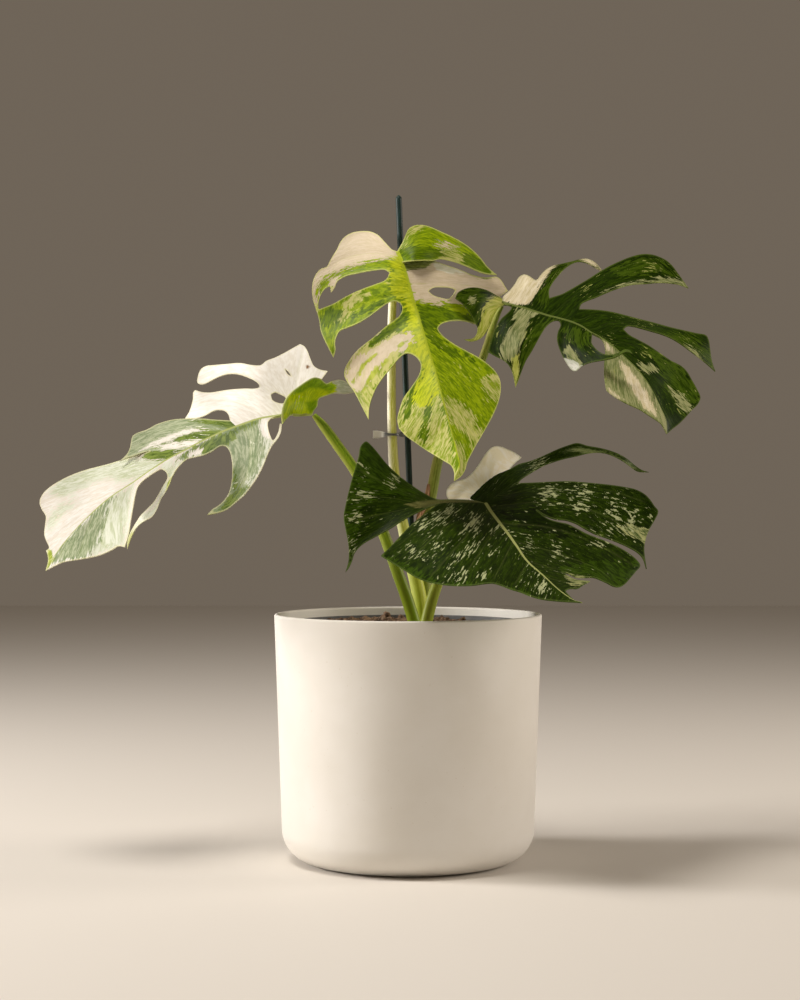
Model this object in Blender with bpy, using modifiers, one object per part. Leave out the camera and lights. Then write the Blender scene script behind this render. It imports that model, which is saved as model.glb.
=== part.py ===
"""A young variegated split-leaf monstera in a black nursery pot, standing inside a cream cover pot.

Metres, +Z up. The origin is the centre of the cover pot's foot, on the surface it stands on.

Each blade is drawn as its real outline was seen from one viewpoint, in the pixels of an 800 by 1000
frame, with how far each point of it lies in front of or behind the pot's axis in millimetres. The
size of everything follows from the cover pot's rim, which is RIM_DIAMETER across.
"""

import math

import bmesh
import bpy
import numpy as np
from mathutils import Vector
from mathutils.geometry import delaunay_2d_cdt

MM = 0.001

# Driving dimensions of the pots
RIM_DIAMETER = 0.220
POT_HEIGHT = 0.202
WALL = 0.0032
FOOT_CORNER = 0.026
WAIST_DIAMETER = 0.2075
NURSERY_DIAMETER = 0.197
NURSERY_FOOT_DIAMETER = 0.154
NURSERY_RIM_Z = 0.1955
NURSERY_WALL = 0.0014
SOIL_Z = 0.1925
SOIL_SLOPE = 0.012
TOUCH_GAP = 0.0003
ROUND_SEGMENTS = 56

# The viewpoint that the leaf outlines were drawn from
RIM_WIDTH_PX = 267
FOCAL_PX = 2025
VIEW_DISTANCE = RIM_DIAMETER * FOCAL_PX / RIM_WIDTH_PX
VIEW_HEIGHT = 0.2955
VIEW_X = -0.0066
CENTRE_PX = 400
HORIZON_PX = 500

# Leaf blades
BLADE_THICKNESS = 0.0009
RIB_THICKNESS = 0.0030
RIB_HALF_WIDTH_PX = 3.5
EDGE_STEP_PX = 6.5
GRID_STEP_PX = 8.8

# Stalks, stake and tie
STAKE_DIAMETER = 0.0054
STAKE_IN_SOIL = 0.120
STALK_IN_SOIL = 0.016
HOLE_CLEARANCE = 0.0004
STALK_SIDES = 12
STAKE_SIDES = 12


def at(x, y, depth):
    """The place in metres of a pixel that lies depth millimetres behind the pot's axis."""
    reach = VIEW_DISTANCE + depth * MM
    return Vector((
        VIEW_X + (x - CENTRE_PX) * reach / FOCAL_PX,
        depth * MM,
        VIEW_HEIGHT - (y - HORIZON_PX) * reach / FOCAL_PX,
    ))


def along(line, start, end):
    """Part of an outline that follows a shared line from one of its points to another."""
    return (line, start, end)


# The left leaf: white and grey-green, its tip low at the left
LEFT_LEAF = {
    "lines": {
        "rib": [
            (312, 412, 5), (300, 413, 4), (291, 413, 3), (276, 415.5, 1), (260, 418, 0), (236, 426, -3),
            (219, 432.5, -5), (200, 441.5, -8), (187, 448.5, -10), (168, 458.5, -14), (150, 470, -18),
            (133, 482, -23), (110, 497, -30), (90, 514.5, -37), (74, 531, -43), (57, 552, -50),
            (45.5, 570.5, -56),
        ],
        "third_vein": [(236, 426, -3), (230, 420.5, 4)],
        "fourth_vein": [(187, 448.5, -10), (168, 449.5, -3), (150, 451, 3)],
    },
    "patches": [
        {
            "edge": [
                along("rib", (312, 412), (236, 426)),
                along("third_vein", (236, 426), (230, 420.5)),
                [
                    (230, 420.5, 4), (228.5, 415), (225.5, 411), (219.5, 409.5), (213, 411), (206, 415),
                    (197, 418), (185, 418.5, 44),
                ],
                [(185, 418.5, 44), (189, 412), (191.5, 405), (193, 398), (193, 392.5), (195, 390, 58)],
                [
                    (195, 390, 58), (202, 392), (210, 392.5), (220, 391), (230, 389.5), (245, 388.5),
                    (255, 388.5, 26), (259.5, 387), (259, 384), (254, 380), (246, 376.5), (236, 373.7),
                    (227, 374), (219, 376.5), (211, 380.5), (203, 384), (197.5, 382.5, 74), (198, 376),
                    (201, 369), (206, 366), (214, 365), (226, 364), (240, 363, 66), (252, 365), (261, 365),
                    (266, 361), (275, 357.5), (284, 353), (292, 348.5), (300, 344, 70),
                ],
                [
                    (300, 344, 70), (304, 346), (307.5, 351), (310.5, 359), (314, 366), (320, 369.5),
                    (327.5, 371, 46),
                ],
                [(327.5, 371, 46), (321, 380), (317, 388, 28), (318, 400), (312, 412, 5)],
            ],
            "holes": [
                [
                    (271, 394), (275, 392), (279, 393.5), (286, 397.5), (284, 403), (277, 402.5),
                    (272, 399.5), (271, 394),
                ],
                [(285, 369), (288, 371), (291, 376), (287.5, 374), (285, 369)],
            ],
            "pins": [(222, 402, 34), (250, 404, 16), (280, 372, 46), (262, 375, 40), (300, 366, 52)],
        },
        {
            "edge": [
                along("rib", (236, 426), (187, 448.5)),
                along("fourth_vein", (187, 448.5), (150, 451)),
                [(150, 451, 3), (143, 452.5), (136, 455), (128, 457.5), (119.5, 461, -3)],
                [
                    (119.5, 461, -3), (126, 455), (129.5, 449), (131, 442), (132.5, 436, 20), (137, 433),
                    (147, 429.5), (155, 425), (163, 422, 30), (173, 419.5), (187, 418.5), (202, 418.5, 20),
                    (214, 419.5), (230, 420.5, 4),
                ],
                along("third_vein", (230, 420.5), (236, 426)),
            ],
            "pins": [(170, 436, 14)],
        },
        {
            "edge": [
                along("rib", (187, 448.5), (45.5, 570.5)),
                [(45.5, 570.5, -56), (48, 561), (47.5, 555), (46, 550.5, -42)],
                [
                    (46, 550.5, -42), (49, 548), (46.5, 541.5), (44.3, 535), (45, 525), (45.7, 516, -16),
                    (41.5, 509), (39.5, 502, -6), (42, 495), (48, 488.5), (57, 482.3), (68, 476.5, 12),
                    (82, 471), (95, 467.3), (108, 464, 11), (119.5, 460.5, 9), (131, 457.5), (141, 454.5),
                    (150, 451, 3),
                ],
                along("fourth_vein", (150, 451), (187, 448.5)),
            ],
            "pins": [(90, 490, -8), (62, 515, -24)],
        },
        {
            "edge": [
                along("rib", (45.5, 570.5), (276, 415.5)),
                [
                    (276, 415.5, 1), (271, 418), (268, 422), (268, 428), (270, 435), (273, 440.5, -24),
                    (276.5, 436), (278.5, 431), (279.8, 423.5, -15),
                ],
                [(279.8, 423.5, -15), (282, 424, -15)],
                [
                    (282, 424, -15), (281, 431), (278, 438), (273, 444), (269, 451), (265, 461, -38),
                    (259, 474), (252, 485), (244, 495), (236, 502, -64), (228, 508.5), (218, 512.5),
                    (207.5, 514.5, -78),
                ],
                [
                    (207.5, 514.5, -78), (212, 509.5), (219, 505), (225, 499), (229, 492), (231.5, 482, -50),
                    (232.3, 470), (231.5, 459), (229, 450), (225.5, 446, -16), (220, 446), (213, 450.5),
                    (204, 454.8), (195, 457, -16), (187, 459), (181, 464), (176, 470, -26), (172, 477),
                    (169.5, 484), (166, 491), (161, 499, -50), (157, 509), (152, 516.5), (145, 520.5),
                    (138, 525.5, -74), (133, 533), (129.5, 541), (127, 549, -84),
                ],
                [
                    (127, 549, -84), (127.5, 541), (130.5, 532), (135, 524), (141, 515, -74), (148, 508),
                    (154, 501.5), (158.5, 494, -48), (163, 486), (167.5, 477), (166, 472), (162, 469, -20),
                    (156, 471.5), (149, 476), (142.5, 481, -26), (138, 486.5), (135.5, 494), (133, 507, -48),
                    (130.5, 521), (128.5, 534), (124.5, 547, -81),
                ],
                [
                    (124.5, 547, -81), (119, 545.7), (112, 549.5), (101, 554.5), (88, 557.7, -68),
                    (74, 560), (63, 562), (54, 566), (45.5, 570.5, -56),
                ],
            ],
            "pins": [(245, 468, -36), (100, 535, -52)],
        },
        {
            "edge": [
                along("rib", (291, 413), (312, 412)),
                [
                    (312, 412, 5), (317, 406), (318.5, 398.5, -4), (326, 395.5), (334, 393.5, -2),
                    (346, 394), (358, 391.5, 8),
                ],
                [
                    (358, 391.5, 8), (351, 386.5), (345, 381.5), (338, 379.8, 4), (331, 381.5),
                    (326, 383.5), (320, 378.5), (314, 377.3, -16), (307, 380.5), (299, 386, -20),
                    (291, 392), (285.5, 399), (282.5, 407, -18), (281.3, 415), (281.8, 424, -13),
                ],
                [(281.8, 424, -13), (286, 419), (291, 413, 3)],
            ],
            "pins": [(301, 400, -13)],
            "folded": True,
        },
    ],
}

# The top leaf: yellow-green and cream, its face to the viewer and its tip hanging forward
TOP_LEAF = {
    "lines": {
        "rib": [
            (397, 251, -3), (402, 262, -7), (408, 280, -12), (412.5, 297, -18), (418, 315, -25),
            (424, 335, -35), (430, 354, -46), (436, 374, -58), (441, 393, -70), (446.5, 412, -80),
            (452, 433, -91), (457, 452, -101), (459.5, 465, -107), (454, 481, -114),
        ],
    },
    "patches": [
        {
            "edge": [
                along("rib", (454, 481), (397, 251)),
                [
                    (397, 251, -3), (392, 249.5), (388, 245.5), (383, 240), (378, 235), (371, 231.7),
                    (362, 231, 20), (352, 232.7), (345, 236.5), (340, 242.5), (337, 249), (333, 255.5),
                    (329.5, 261.5), (327, 266.5, 8), (321, 268.8), (317, 272.5), (313.7, 279),
                    (312, 288, -2), (312.7, 298), (315, 306.5), (317.5, 314), (319.3, 321, -12),
                    (320.5, 330), (324, 339), (328, 347), (333.5, 357.5, -30),
                ],
                [
                    (333.5, 357.5, -30), (335.5, 350), (335, 343), (336.5, 336), (340, 330.5), (346, 328),
                    (355, 324.5, -20), (366, 318.5), (377, 310.5), (386, 304), (394, 301, -18),
                    (400, 303), (402.3, 308.5), (400, 315, -20), (392, 321.5), (382, 329.5), (373, 337.5),
                    (364, 344.5), (356, 351.5), (349.5, 360), (345, 368.5, -26), (344.3, 375.5),
                    (348, 383), (353, 390), (358, 399), (363, 409), (368.5, 419.5, -56),
                ],
                [
                    (368.5, 419.5, -56), (369, 408), (372, 397), (377, 386), (384, 376, -44), (392, 366.5),
                    (399, 358), (405.5, 353.3, -42), (412, 354), (417.5, 358), (420.7, 364.5, -50),
                    (420, 372), (416, 380), (409.5, 389.5), (403.5, 398, -58), (400, 407.5),
                    (397.3, 420, -66), (399, 428.5),
                ],
                [
                    (399, 428.5), (406, 436), (415, 442.5), (425, 449.5, -82), (435, 455.5), (444, 461),
                    (451, 465.5), (454, 472, -108), (454, 481, -114),
                ],
            ],
            "holes": [
                [
                    (389.5, 272.5), (385, 269.7), (376, 270), (366, 271.5), (356, 273.5), (347, 275.5),
                    (340, 279), (337.5, 280.8), (334.5, 287.5), (331, 292.3), (329.8, 286), (325.5, 288.2),
                    (321.5, 293.5), (318.7, 301), (318.7, 309),
                    (325, 307), (334, 303.3), (344, 297.5), (355, 292), (366, 287.5), (377, 283.5),
                    (386, 279.5), (389.5, 272.5),
                ],
            ],
            "pins": [(366, 255, 6), (350, 312, -12), (372, 352, -32), (420, 425, -78)],
        },
        {
            "edge": [
                along("rib", (397, 251), (402, 262)),
                [
                    (402, 262, -7), (412, 261, -13), (424, 260.5, -9), (434, 260.5, -2), (440, 259),
                    (449, 260.5), (458, 263, 10), (467, 266.5), (476, 270.5), (485, 273.7),
                    (497, 275, 30),
                ],
                [
                    (497, 275, 30), (491, 270), (486, 265), (482, 259.5), (477, 254), (470.5, 248),
                    (462, 242, 22), (452, 236.5), (441, 231.5), (431, 227), (423, 225, 16), (415, 225.3),
                    (409, 228.5), (405.5, 235), (402, 243), (397, 251, -3),
                ],
            ],
            "pins": [(414, 252, -9), (420, 238, 2), (448, 246, 8)],
        },
        {
            "edge": [
                along("rib", (402, 262), (454, 481)),
                [(454, 481, -114), (460.5, 477), (465, 470.5), (467.5, 462), (472, 453), (477, 443.5, -86)],
                [
                    (477, 443.5, -86), (483, 433.5), (489.5, 422), (495, 411, -60), (499, 400), (500.8, 390),
                    (500, 380, -40), (495.5, 371.5), (488, 364), (478, 357, -30), (467, 351), (456, 345),
                    (447, 339), (441, 333.5), (438, 328.5, -28), (440.5, 324.5), (448, 321.5), (458, 320.5),
                    (468, 321.7), (476, 324), (485, 324, 16),
                ],
                [(485, 324, 16), (482, 315), (486, 306), (495, 300), (508, 291, 38)],
                [
                    (508, 291, 38), (504.5, 285.5), (501, 280), (497, 276.8), (488, 277.5), (479, 276.7),
                    (470, 274, 20), (462, 270.5), (454, 267.5), (445, 264.5), (436, 261.5, 6), (424, 258.5),
                    (412, 258, -1), (402, 262, -7),
                ],
            ],
            "holes": [
                [
                    (428.5, 291), (433, 287.7), (441, 287), (450, 287.7), (455.5, 290), (453, 295),
                    (449, 298.7), (441, 297.7), (433, 295), (428.5, 291),
                ],
            ],
            "pins": [(470, 400, -64), (435, 274, -2), (455, 310, -4)],
        },
    ],
}

# The right leaf: dark green with cream, seen low from its side, its tip hanging at the right
RIGHT_LEAF = {
    "lines": {
        "rib": [
            (503, 302, 25), (512, 304.5, 24), (522, 307, 22), (535, 311, 20), (548, 315, 18),
            (560, 318, 16), (572, 321.5, 14), (582, 326, 11), (592, 332.5, 8), (600, 336.5, 5),
            (612, 345, 1), (624, 356, -3), (636, 367.5, -7), (649, 384.5, -12), (661, 408, -17),
            (666.5, 421, -20), (667, 434, -23),
        ],
        "first_vein": [(548, 315, 18), (549, 305, 28), (549.5, 298, 36)],
        "second_vein": [(572, 321.5, 14), (576, 315, 21), (579.5, 309, 28)],
        "third_vein": [(600, 336.5, 5), (612, 333, 13), (623.5, 329, 20)],
    },
    "patches": [
        {
            "edge": [
                along("rib", (503, 302), (548, 315)),
                along("first_vein", (548, 315), (549.5, 298)),
                [
                    (549.5, 298, 36), (549, 291), (552, 284), (558, 276, 62), (565, 268.5), (572, 263.7),
                    (578, 261.7), (584, 262.2, 86), (590, 264.5), (597, 268.5), (603, 271.5, 94),
                ],
                [
                    (603, 271.5, 94), (598, 265), (593, 261), (587, 258.7, 90), (580, 259.2), (570, 261.7),
                    (560, 264), (552, 266, 68), (546, 269.5), (541, 274.5), (536, 280, 48), (530, 276.5),
                    (524.5, 274.2, 54), (519, 277), (515, 283.5), (510, 290, 38), (503, 297, 28),
                    (503, 302, 25),
                ],
            ],
            "pins": [(528, 292, 36)],
        },
        {
            "edge": [
                along("rib", (548, 315), (572, 321.5)),
                along("second_vein", (572, 321.5), (579.5, 309)),
                [
                    (579.5, 309, 28), (581, 304), (587, 300.5), (595, 297.7, 44), (604, 293.7),
                    (614, 289.7), (624, 286.3, 66), (634, 284.3), (646, 283.7), (658, 282.7, 84),
                    (668, 283), (678, 284.3), (688.5, 288, 86),
                ],
                [
                    (688.5, 288, 86), (683.5, 281), (678.5, 274), (673, 266.5), (667, 260.7, 98),
                    (660, 257), (651, 254.3), (641, 254.2, 98), (630, 257), (620, 261), (610, 265.7),
                    (600, 271.5, 80), (589, 278.5), (579, 284.5), (570, 289.7, 54), (562, 294),
                    (555, 296.3), (549.5, 298, 36),
                ],
                along("first_vein", (549.5, 298), (548, 315)),
            ],
            "pins": [(640, 268, 88)],
        },
        {
            "edge": [
                along("rib", (572, 321.5), (600, 336.5)),
                along("third_vein", (600, 336.5), (623.5, 329)),
                [
                    (623.5, 329, 20), (627, 326), (633, 326.3), (642, 328.5), (652, 331.3, 30),
                    (662, 334.3), (671, 338), (681, 344), (691, 351.5, 42), (701, 359), (709, 365.7),
                    (715.5, 371.5, 52),
                ],
                [
                    (715.5, 371.5, 52), (712, 361), (710.3, 350), (709, 341), (706.5, 335.5, 60),
                    (696, 333), (683, 330), (669, 326.7), (654, 322.5, 56), (639, 318.7), (625, 315),
                    (612, 311.8, 42), (600, 310), (590, 309.3), (579.5, 309, 28),
                ],
                along("second_vein", (579.5, 309), (572, 321.5)),
            ],
            "pins": [(640, 324, 40)],
        },
        {
            "edge": [
                along("rib", (600, 336.5), (667, 434)),
                [
                    (667, 434, -23), (672, 429.5), (679, 424), (685.5, 417.5, -6), (692, 410), (698, 404),
                    (700.5, 397.5, 14), (697, 389), (692, 380), (687, 371.5), (681.5, 366, 28),
                    (671, 360.5), (660, 353), (649, 345.5, 24), (638, 339.5), (629, 334.5),
                    (623.5, 329, 20),
                ],
                along("third_vein", (623.5, 329), (600, 336.5)),
            ],
            "pins": [(668, 385, 8)],
        },
        {
            "edge": [
                along("rib", (512, 304.5), (503, 302)),
                [
                    (503, 302, 25), (502, 298.5), (497, 295.7, 16), (490, 291.5), (482, 288.5),
                    (473, 287.3, 2), (464, 289), (457.5, 293), (455.3, 298.5, -4),
                ],
                [
                    (455.3, 298.5, -4), (461, 302.5), (466.5, 308), (471, 315, -4), (475, 322),
                    (478, 328), (477, 334), (473.5, 338, -8), (464, 339.5, -10),
                ],
                [
                    (464, 339.5, -10), (471, 341.5), (479, 339.5), (485, 334.5, -2), (489.5, 327),
                    (493, 318.5), (497, 310.5, 14), (501.5, 306), (507, 304.8), (512, 304.5, 24),
                ],
            ],
            "pins": [(478, 305, 0)],
        },
        {
            "edge": [
                along("rib", (592, 332.5), (512, 304.5)),
                [
                    (512, 304.5, 24), (511, 309), (507, 313.5, 12), (501, 319), (496.5, 326.5),
                    (492.5, 336.5, -2), (490, 344), (488.3, 351.8, -12),
                ],
                [
                    (488.3, 351.8, -12), (495, 355.7), (502.5, 359.5), (508, 364), (512, 371), (514, 378),
                    (515.5, 387, -26),
                ],
                [
                    (515.5, 387, -26), (519, 379), (522, 370.5), (526, 361), (531.5, 352, -10), (537, 342),
                    (542, 333), (547, 325.5), (553, 321, 12), (559, 320.7), (560.8, 324.5), (558, 331.5, 6),
                    (557, 338), (558.5, 346), (562, 355), (567, 364, -16), (572, 370), (576, 370.8, -22),
                    (580, 367), (587, 363.5), (596, 361.3), (604, 360, -26), (612, 358.3), (618, 355.8),
                    (623, 352.8), (627.5, 351.7), (632.5, 353.5, -38),
                ],
                [
                    (632.5, 353.5, -38), (629.5, 350), (625, 349.3), (619.5, 352), (613, 354.3, -28),
                    (606, 354.5), (600, 352), (595, 347.7), (591.5, 342.5, -8), (592, 337),
                    (592, 332.5, 8),
                ],
            ],
            "pins": [(506, 338, -4), (522, 345, -12), (578, 348, -12)],
        },
        {
            "edge": [
                along("rib", (667, 434), (600, 336.5)),
                [
                    (600, 336.5, 5), (603.3, 341.5), (605.3, 348), (605, 356, -6), (604.3, 365),
                    (604.3, 375), (605.2, 383), (606.5, 390, -30),
                ],
                [
                    (606.5, 390, -30), (613, 395.5), (621, 400.5), (630, 405, -36), (640, 409.5),
                    (649, 415.3), (656, 419.7), (661.5, 424, -30), (664.5, 429), (667, 434, -23),
                ],
            ],
            "pins": [(625, 385, -22)],
        },
    ],
}

# The front leaf: dark green with pale flecks, its tip towards the viewer
FRONT_LEAF = {
    "lines": {
        "rib": [
            (486, 503, -32), (491, 511, -43), (497, 519, -56), (504, 528, -71), (511, 537.5, -86),
            (518, 547.5, -102), (525, 558, -117), (531, 564.5, -128), (538, 570.5, -139),
            (547, 578.5, -153), (557, 588, -168), (566, 595, -180), (574, 600, -189),
            (582, 602, -195),
        ],
        "neck": [(486, 503, -32), (470, 502.3, -33), (455, 502.3, -35), (445, 502.7, -38), (438, 504, -41)],
        "white_fold": [
            (486, 503, -32), (477, 501, -27), (470, 498.5, -21), (478, 489.5, -13), (486, 482, -6),
            (494, 476, 0), (502, 472, 5), (510, 469, 9),
        ],
        "second_vein": [(486, 503, -32), (497, 496, -22), (508, 489.5, -12), (518, 483, -4)],
    },
    "patches": [
        {
            "edge": [
                along("neck", (486, 503), (438, 504)),
                [
                    (438, 504, -41), (430, 506.5), (420, 511), (410, 516, -54), (400, 522), (391, 528),
                    (382, 533, -62), (374, 537.5), (366, 542), (359, 547.5), (354.5, 553.5, -72),
                    (352, 561), (349.5, 566.5), (345.5, 572, -80),
                ],
                [
                    (345.5, 572, -80), (348.3, 562), (349, 552), (348.3, 542, -70), (346, 530),
                    (344, 516, -64), (346, 504), (349.5, 489), (353, 476, -46), (356.5, 465),
                    (359.3, 455), (361, 446, -28), (366, 441.3, -20), (371, 445), (378, 453),
                    (386, 463, -20), (395, 472), (404, 479.5), (413, 486, -18), (423, 492.5),
                    (432, 497.3), (438, 499.3, -18), (450, 499.2), (464, 499.5, -24), (476, 500.7),
                    (486, 503, -32),
                ],
            ],
            "pins": [(375, 495, -46), (362, 520, -60), (415, 501, -36)],
        },
        {
            "edge": [
                along("rib", (582, 602), (486, 503)),
                along("neck", (486, 503), (438, 504)),
                [
                    (438, 504, -41), (430, 509.5), (421, 516.5), (411, 525), (401, 535, -72),
                    (392, 545), (381, 555.5, -94),
                ],
                [
                    (381, 555.5, -94), (389, 560.5), (398, 566), (407, 571.5), (416, 577, -124),
                    (426, 581), (437, 583.5), (449, 585), (462, 585.5, -150), (474, 585), (484, 583.5),
                    (493, 583, -160), (502, 585.5), (511, 589), (521, 592), (531, 596, -178),
                    (542, 599), (554, 600.5), (567, 601.5), (582, 602, -195),
                ],
            ],
            "pins": [(450, 540, -94), (490, 560, -122)],
        },
        {
            "edge": [
                along("white_fold", (486, 503), (510, 469)),
                [
                    (510, 469, 9), (513, 465), (517, 461.2), (521.5, 457.5, 16),
                ],
                [
                    (521.5, 457.5, 16), (516, 453.3), (508, 449.5), (498, 446, 19), (491.5, 447.5),
                    (486.5, 452.5), (482, 459), (477.5, 466, 16), (472, 473), (465, 478.5),
                    (457, 481, 13), (450.5, 484.5), (447, 489.5), (446.7, 496, 9), (450, 501),
                    (460, 503.3, -6), (474, 503.7, -22), (486, 503, -32),
                ],
            ],
            "pins": [(488, 470, 3), (468, 490, -7)],
        },
        {
            "edge": [
                along("second_vein", (486, 503), (518, 483)),
                [
                    (518, 483, -4), (521, 479.3), (528, 474.5), (536, 469.7, 6), (545, 465), (555, 461.5),
                    (566, 458.3, 18), (577, 456), (588, 453.2), (598, 452.2, 28), (607, 453.5),
                    (616, 457), (625, 462.3), (632, 467.5, 40), (638, 471.3), (649, 472, 46),
                ],
                [
                    (649, 472, 46), (642, 470), (635, 465.3), (627, 458.7, 40), (619, 454), (609, 450.2),
                    (598, 447.5, 34), (588, 445.8), (577, 443, 26), (568, 445.3), (558, 449),
                    (547, 454, 18), (537, 458.5), (528, 461.7), (519, 464), (510, 469, 9),
                ],
                along("white_fold", (510, 469), (486, 503)),
            ],
            "pins": [],
        },
        {
            "edge": [
                along("second_vein", (518, 483), (486, 503)),
                along("rib", (486, 503), (574, 600)),
                [
                    (574, 600, -189), (569.5, 595.5), (565.5, 590.5, -172), (571, 588.3), (578, 588.3),
                    (583.5, 584.5), (590, 581, -122),
                ],
                [
                    (590, 581, -122), (582, 580.3), (575, 579.2), (568.5, 576), (562, 571.8, -126),
                ],
                [
                    (562, 571.8, -126), (569, 573.7), (576, 577), (585, 577.3, -112), (593.5, 577.3),
                    (601, 580), (608, 583.3, -104), (614, 586.3), (620, 586.7, -98), (625, 584),
                    (630.5, 578), (636, 571.5), (640.5, 565.8, -60), (637, 560), (630, 554),
                    (621, 548.3, -54), (610, 543), (598, 538), (587, 533.7, -52), (577, 528.5),
                    (568, 524), (558, 521.8), (548, 518.5, -49), (536.5, 510, -46),
                ],
                [
                    (536.5, 510, -46), (545, 515.5), (555, 519), (566, 520.2, -47), (576, 523.5),
                    (586, 529.3), (596, 534.3), (607, 538, -47), (618, 542.3), (629, 547.3),
                    (638, 552.7, -47), (643.3, 558.5), (646.8, 569, -50),
                ],
                [
                    (646.8, 569, -50), (645, 557), (644.3, 548), (646, 538, -28), (649.5, 529),
                    (654.5, 520.5), (658.3, 511, -8), (654.5, 506), (650.5, 500), (645, 494.3, 4),
                    (636, 489.5), (625, 487), (612, 485, 10), (598, 483.5), (584, 482.2), (568, 481.2, 10),
                    (550, 481.7), (534, 482.5, 4), (518, 483, -4),
                ],
            ],
            "pins": [(560, 500, -22), (600, 560, -84), (540, 540, -82)],
        },
    ],
}


def smooth_line(points, step):
    """Points about one step apart on a smooth curve through the given ones, which all stay on it."""
    given = np.array(points, float)
    lengths = np.linalg.norm(np.diff(given[:, :2], axis=0), axis=1)
    slopes = np.diff(given, axis=0) / lengths[:, None]
    tangents = np.vstack([slopes[:1], (slopes[1:] + slopes[:-1]) / 2, slopes[-1:]])
    line = [given[0]]
    for i, length in enumerate(lengths):
        pieces = max(1, round(length / step))
        for t in np.arange(1, pieces + 1) / pieces:
            line.append(
                given[i] * (2 * t**3 - 3 * t**2 + 1)
                + given[i + 1] * (3 * t**2 - 2 * t**3)
                + tangents[i] * length * (t**3 - 2 * t**2 + t)
                + tangents[i + 1] * length * (t**3 - t**2)
            )
    return np.array(line)


def section(line, start, end):
    """The stretch of a shared line between two of its points, in the order asked for."""
    first = int(np.argmin(np.linalg.norm(line[:, :2] - start, axis=1)))
    last = int(np.argmin(np.linalg.norm(line[:, :2] - end, axis=1)))
    return line[first:last + 1] if first <= last else line[last:first + 1][::-1]


def inside(points, loop):
    """Which of the points lie inside a closed loop."""
    x, y = points[:, :1], points[:, 1:2]
    x1, y1 = loop[:, 0], loop[:, 1]
    x2, y2 = np.roll(x1, -1), np.roll(y1, -1)
    spans = (y1 > y) != (y2 > y)
    with np.errstate(divide="ignore", invalid="ignore"):
        crossing = (x2 - x1) * (y - y1) / (y2 - y1) + x1
    return (spans & (x < crossing)).sum(axis=1) % 2 == 1


def clear_of(points, loop, distance):
    """Which of the points lie at least a distance from every side of a closed loop."""
    start, end = loop, np.roll(loop, -1, axis=0)
    side = end - start
    reach = ((points[:, None] - start) * side).sum(axis=2) / np.maximum((side**2).sum(axis=1), 1e-9)
    nearest = start + np.clip(reach, 0, 1)[..., None] * side
    return np.linalg.norm(points[:, None] - nearest, axis=2).min(axis=1) >= distance


def bend(pins, places):
    """Depth at each place on the thin plate that bends through every pin."""
    scale = 100.0
    pins = np.array(pins, float)
    knots = pins[:, :2] / scale
    places = places / scale

    def kernel(a, b):
        squared = ((a[:, None] - b) ** 2).sum(axis=2)
        return squared * np.log(squared + 1e-12)

    count = len(knots)
    flat = np.hstack([np.ones((count, 1)), knots])
    system = np.zeros((count + 3, count + 3))
    system[:count, :count] = kernel(knots, knots)
    system[:count, count:] = flat
    system[count:, :count] = flat.T
    weights = np.linalg.lstsq(system, np.append(pins[:, 2], [0, 0, 0]), rcond=None)[0]
    return kernel(places, knots) @ weights[:count] + weights[count] + places @ weights[count + 1:]


def patch_mesh(patch, lines):
    """(places in metres, triangles) of one patch of a blade."""
    outline, pins = [], list(patch["pins"])
    for part in patch["edge"]:
        if isinstance(part, tuple):
            run = section(lines[part[0]], part[1], part[2])
            pins += [tuple(point) for point in run]
        else:
            run = smooth_line([point[:2] for point in part], EDGE_STEP_PX)
            pins += [point for point in part if len(point) == 3]
        outline += [tuple(point[:2]) for point in run[:-1]]
    outline = np.array(outline)
    holes = [smooth_line(hole, EDGE_STEP_PX * 0.8)[:-1] for hole in patch.get("holes", [])]
    pins = list({(round(x, 3), round(y, 3)): (x, y, depth) for x, y, depth in pins}.values())

    low, high = outline.min(axis=0), outline.max(axis=0)
    row_step = GRID_STEP_PX * math.sqrt(3) / 2
    grid = np.array([
        (x + (GRID_STEP_PX / 2 if row % 2 else 0), low[1] + row * row_step)
        for row in range(int((high[1] - low[1]) / row_step) + 1)
        for x in np.arange(low[0], high[0], GRID_STEP_PX)
    ])
    grid = grid[inside(grid, outline) & clear_of(grid, outline, GRID_STEP_PX * 0.5)]
    for hole in holes:
        grid = grid[~inside(grid, hole) & clear_of(grid, hole, GRID_STEP_PX * 0.5)]

    places, sides = [], []
    for loop in [outline, *holes]:
        first = len(places)
        places += [tuple(point) for point in loop]
        sides += [(first + i, first + (i + 1) % len(loop)) for i in range(len(loop))]
    places += [tuple(point) for point in grid]
    made = delaunay_2d_cdt([Vector(place) for place in places], sides, [], 0, 1e-5)
    flat = np.array([tuple(vertex) for vertex in made[0]])
    triangles = np.array(made[2])
    centres = flat[triangles].mean(axis=1)
    kept = inside(centres, outline)
    for hole in holes:
        kept &= ~inside(centres, hole)
    triangles = triangles[kept]

    # In pixels y runs down, so a triangle that faces the viewer turns clockwise there.
    a, b, c = (flat[triangles[:, i]] for i in range(3))
    turn = (b[:, 0] - a[:, 0]) * (c[:, 1] - a[:, 1]) - (b[:, 1] - a[:, 1]) * (c[:, 0] - a[:, 0])
    wrong = (turn > 0) != patch.get("folded", False)
    triangles[wrong] = triangles[wrong][:, ::-1]
    depths = bend(pins, flat)
    return [at(x, y, depth) for (x, y), depth in zip(flat, depths)], triangles


def thickness_shares(mesh, rib):
    """How thick the blade is at each vertex, as a share of the rib's thickness."""
    spine = [at(*point) for point in rib]
    reach = RIB_HALF_WIDTH_PX * VIEW_DISTANCE / FOCAL_PX
    shares = []
    for vertex in mesh.vertices:
        near = min(range(len(spine)), key=lambda i: (vertex.co - spine[i]).length)
        away = (vertex.co - spine[near]).length
        taper = 1 - near / (len(spine) - 1)
        rib_share = taper if away < reach else 0
        least = BLADE_THICKNESS / RIB_THICKNESS
        shares.append(least + (1 - least) * rib_share)
    return shares


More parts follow.
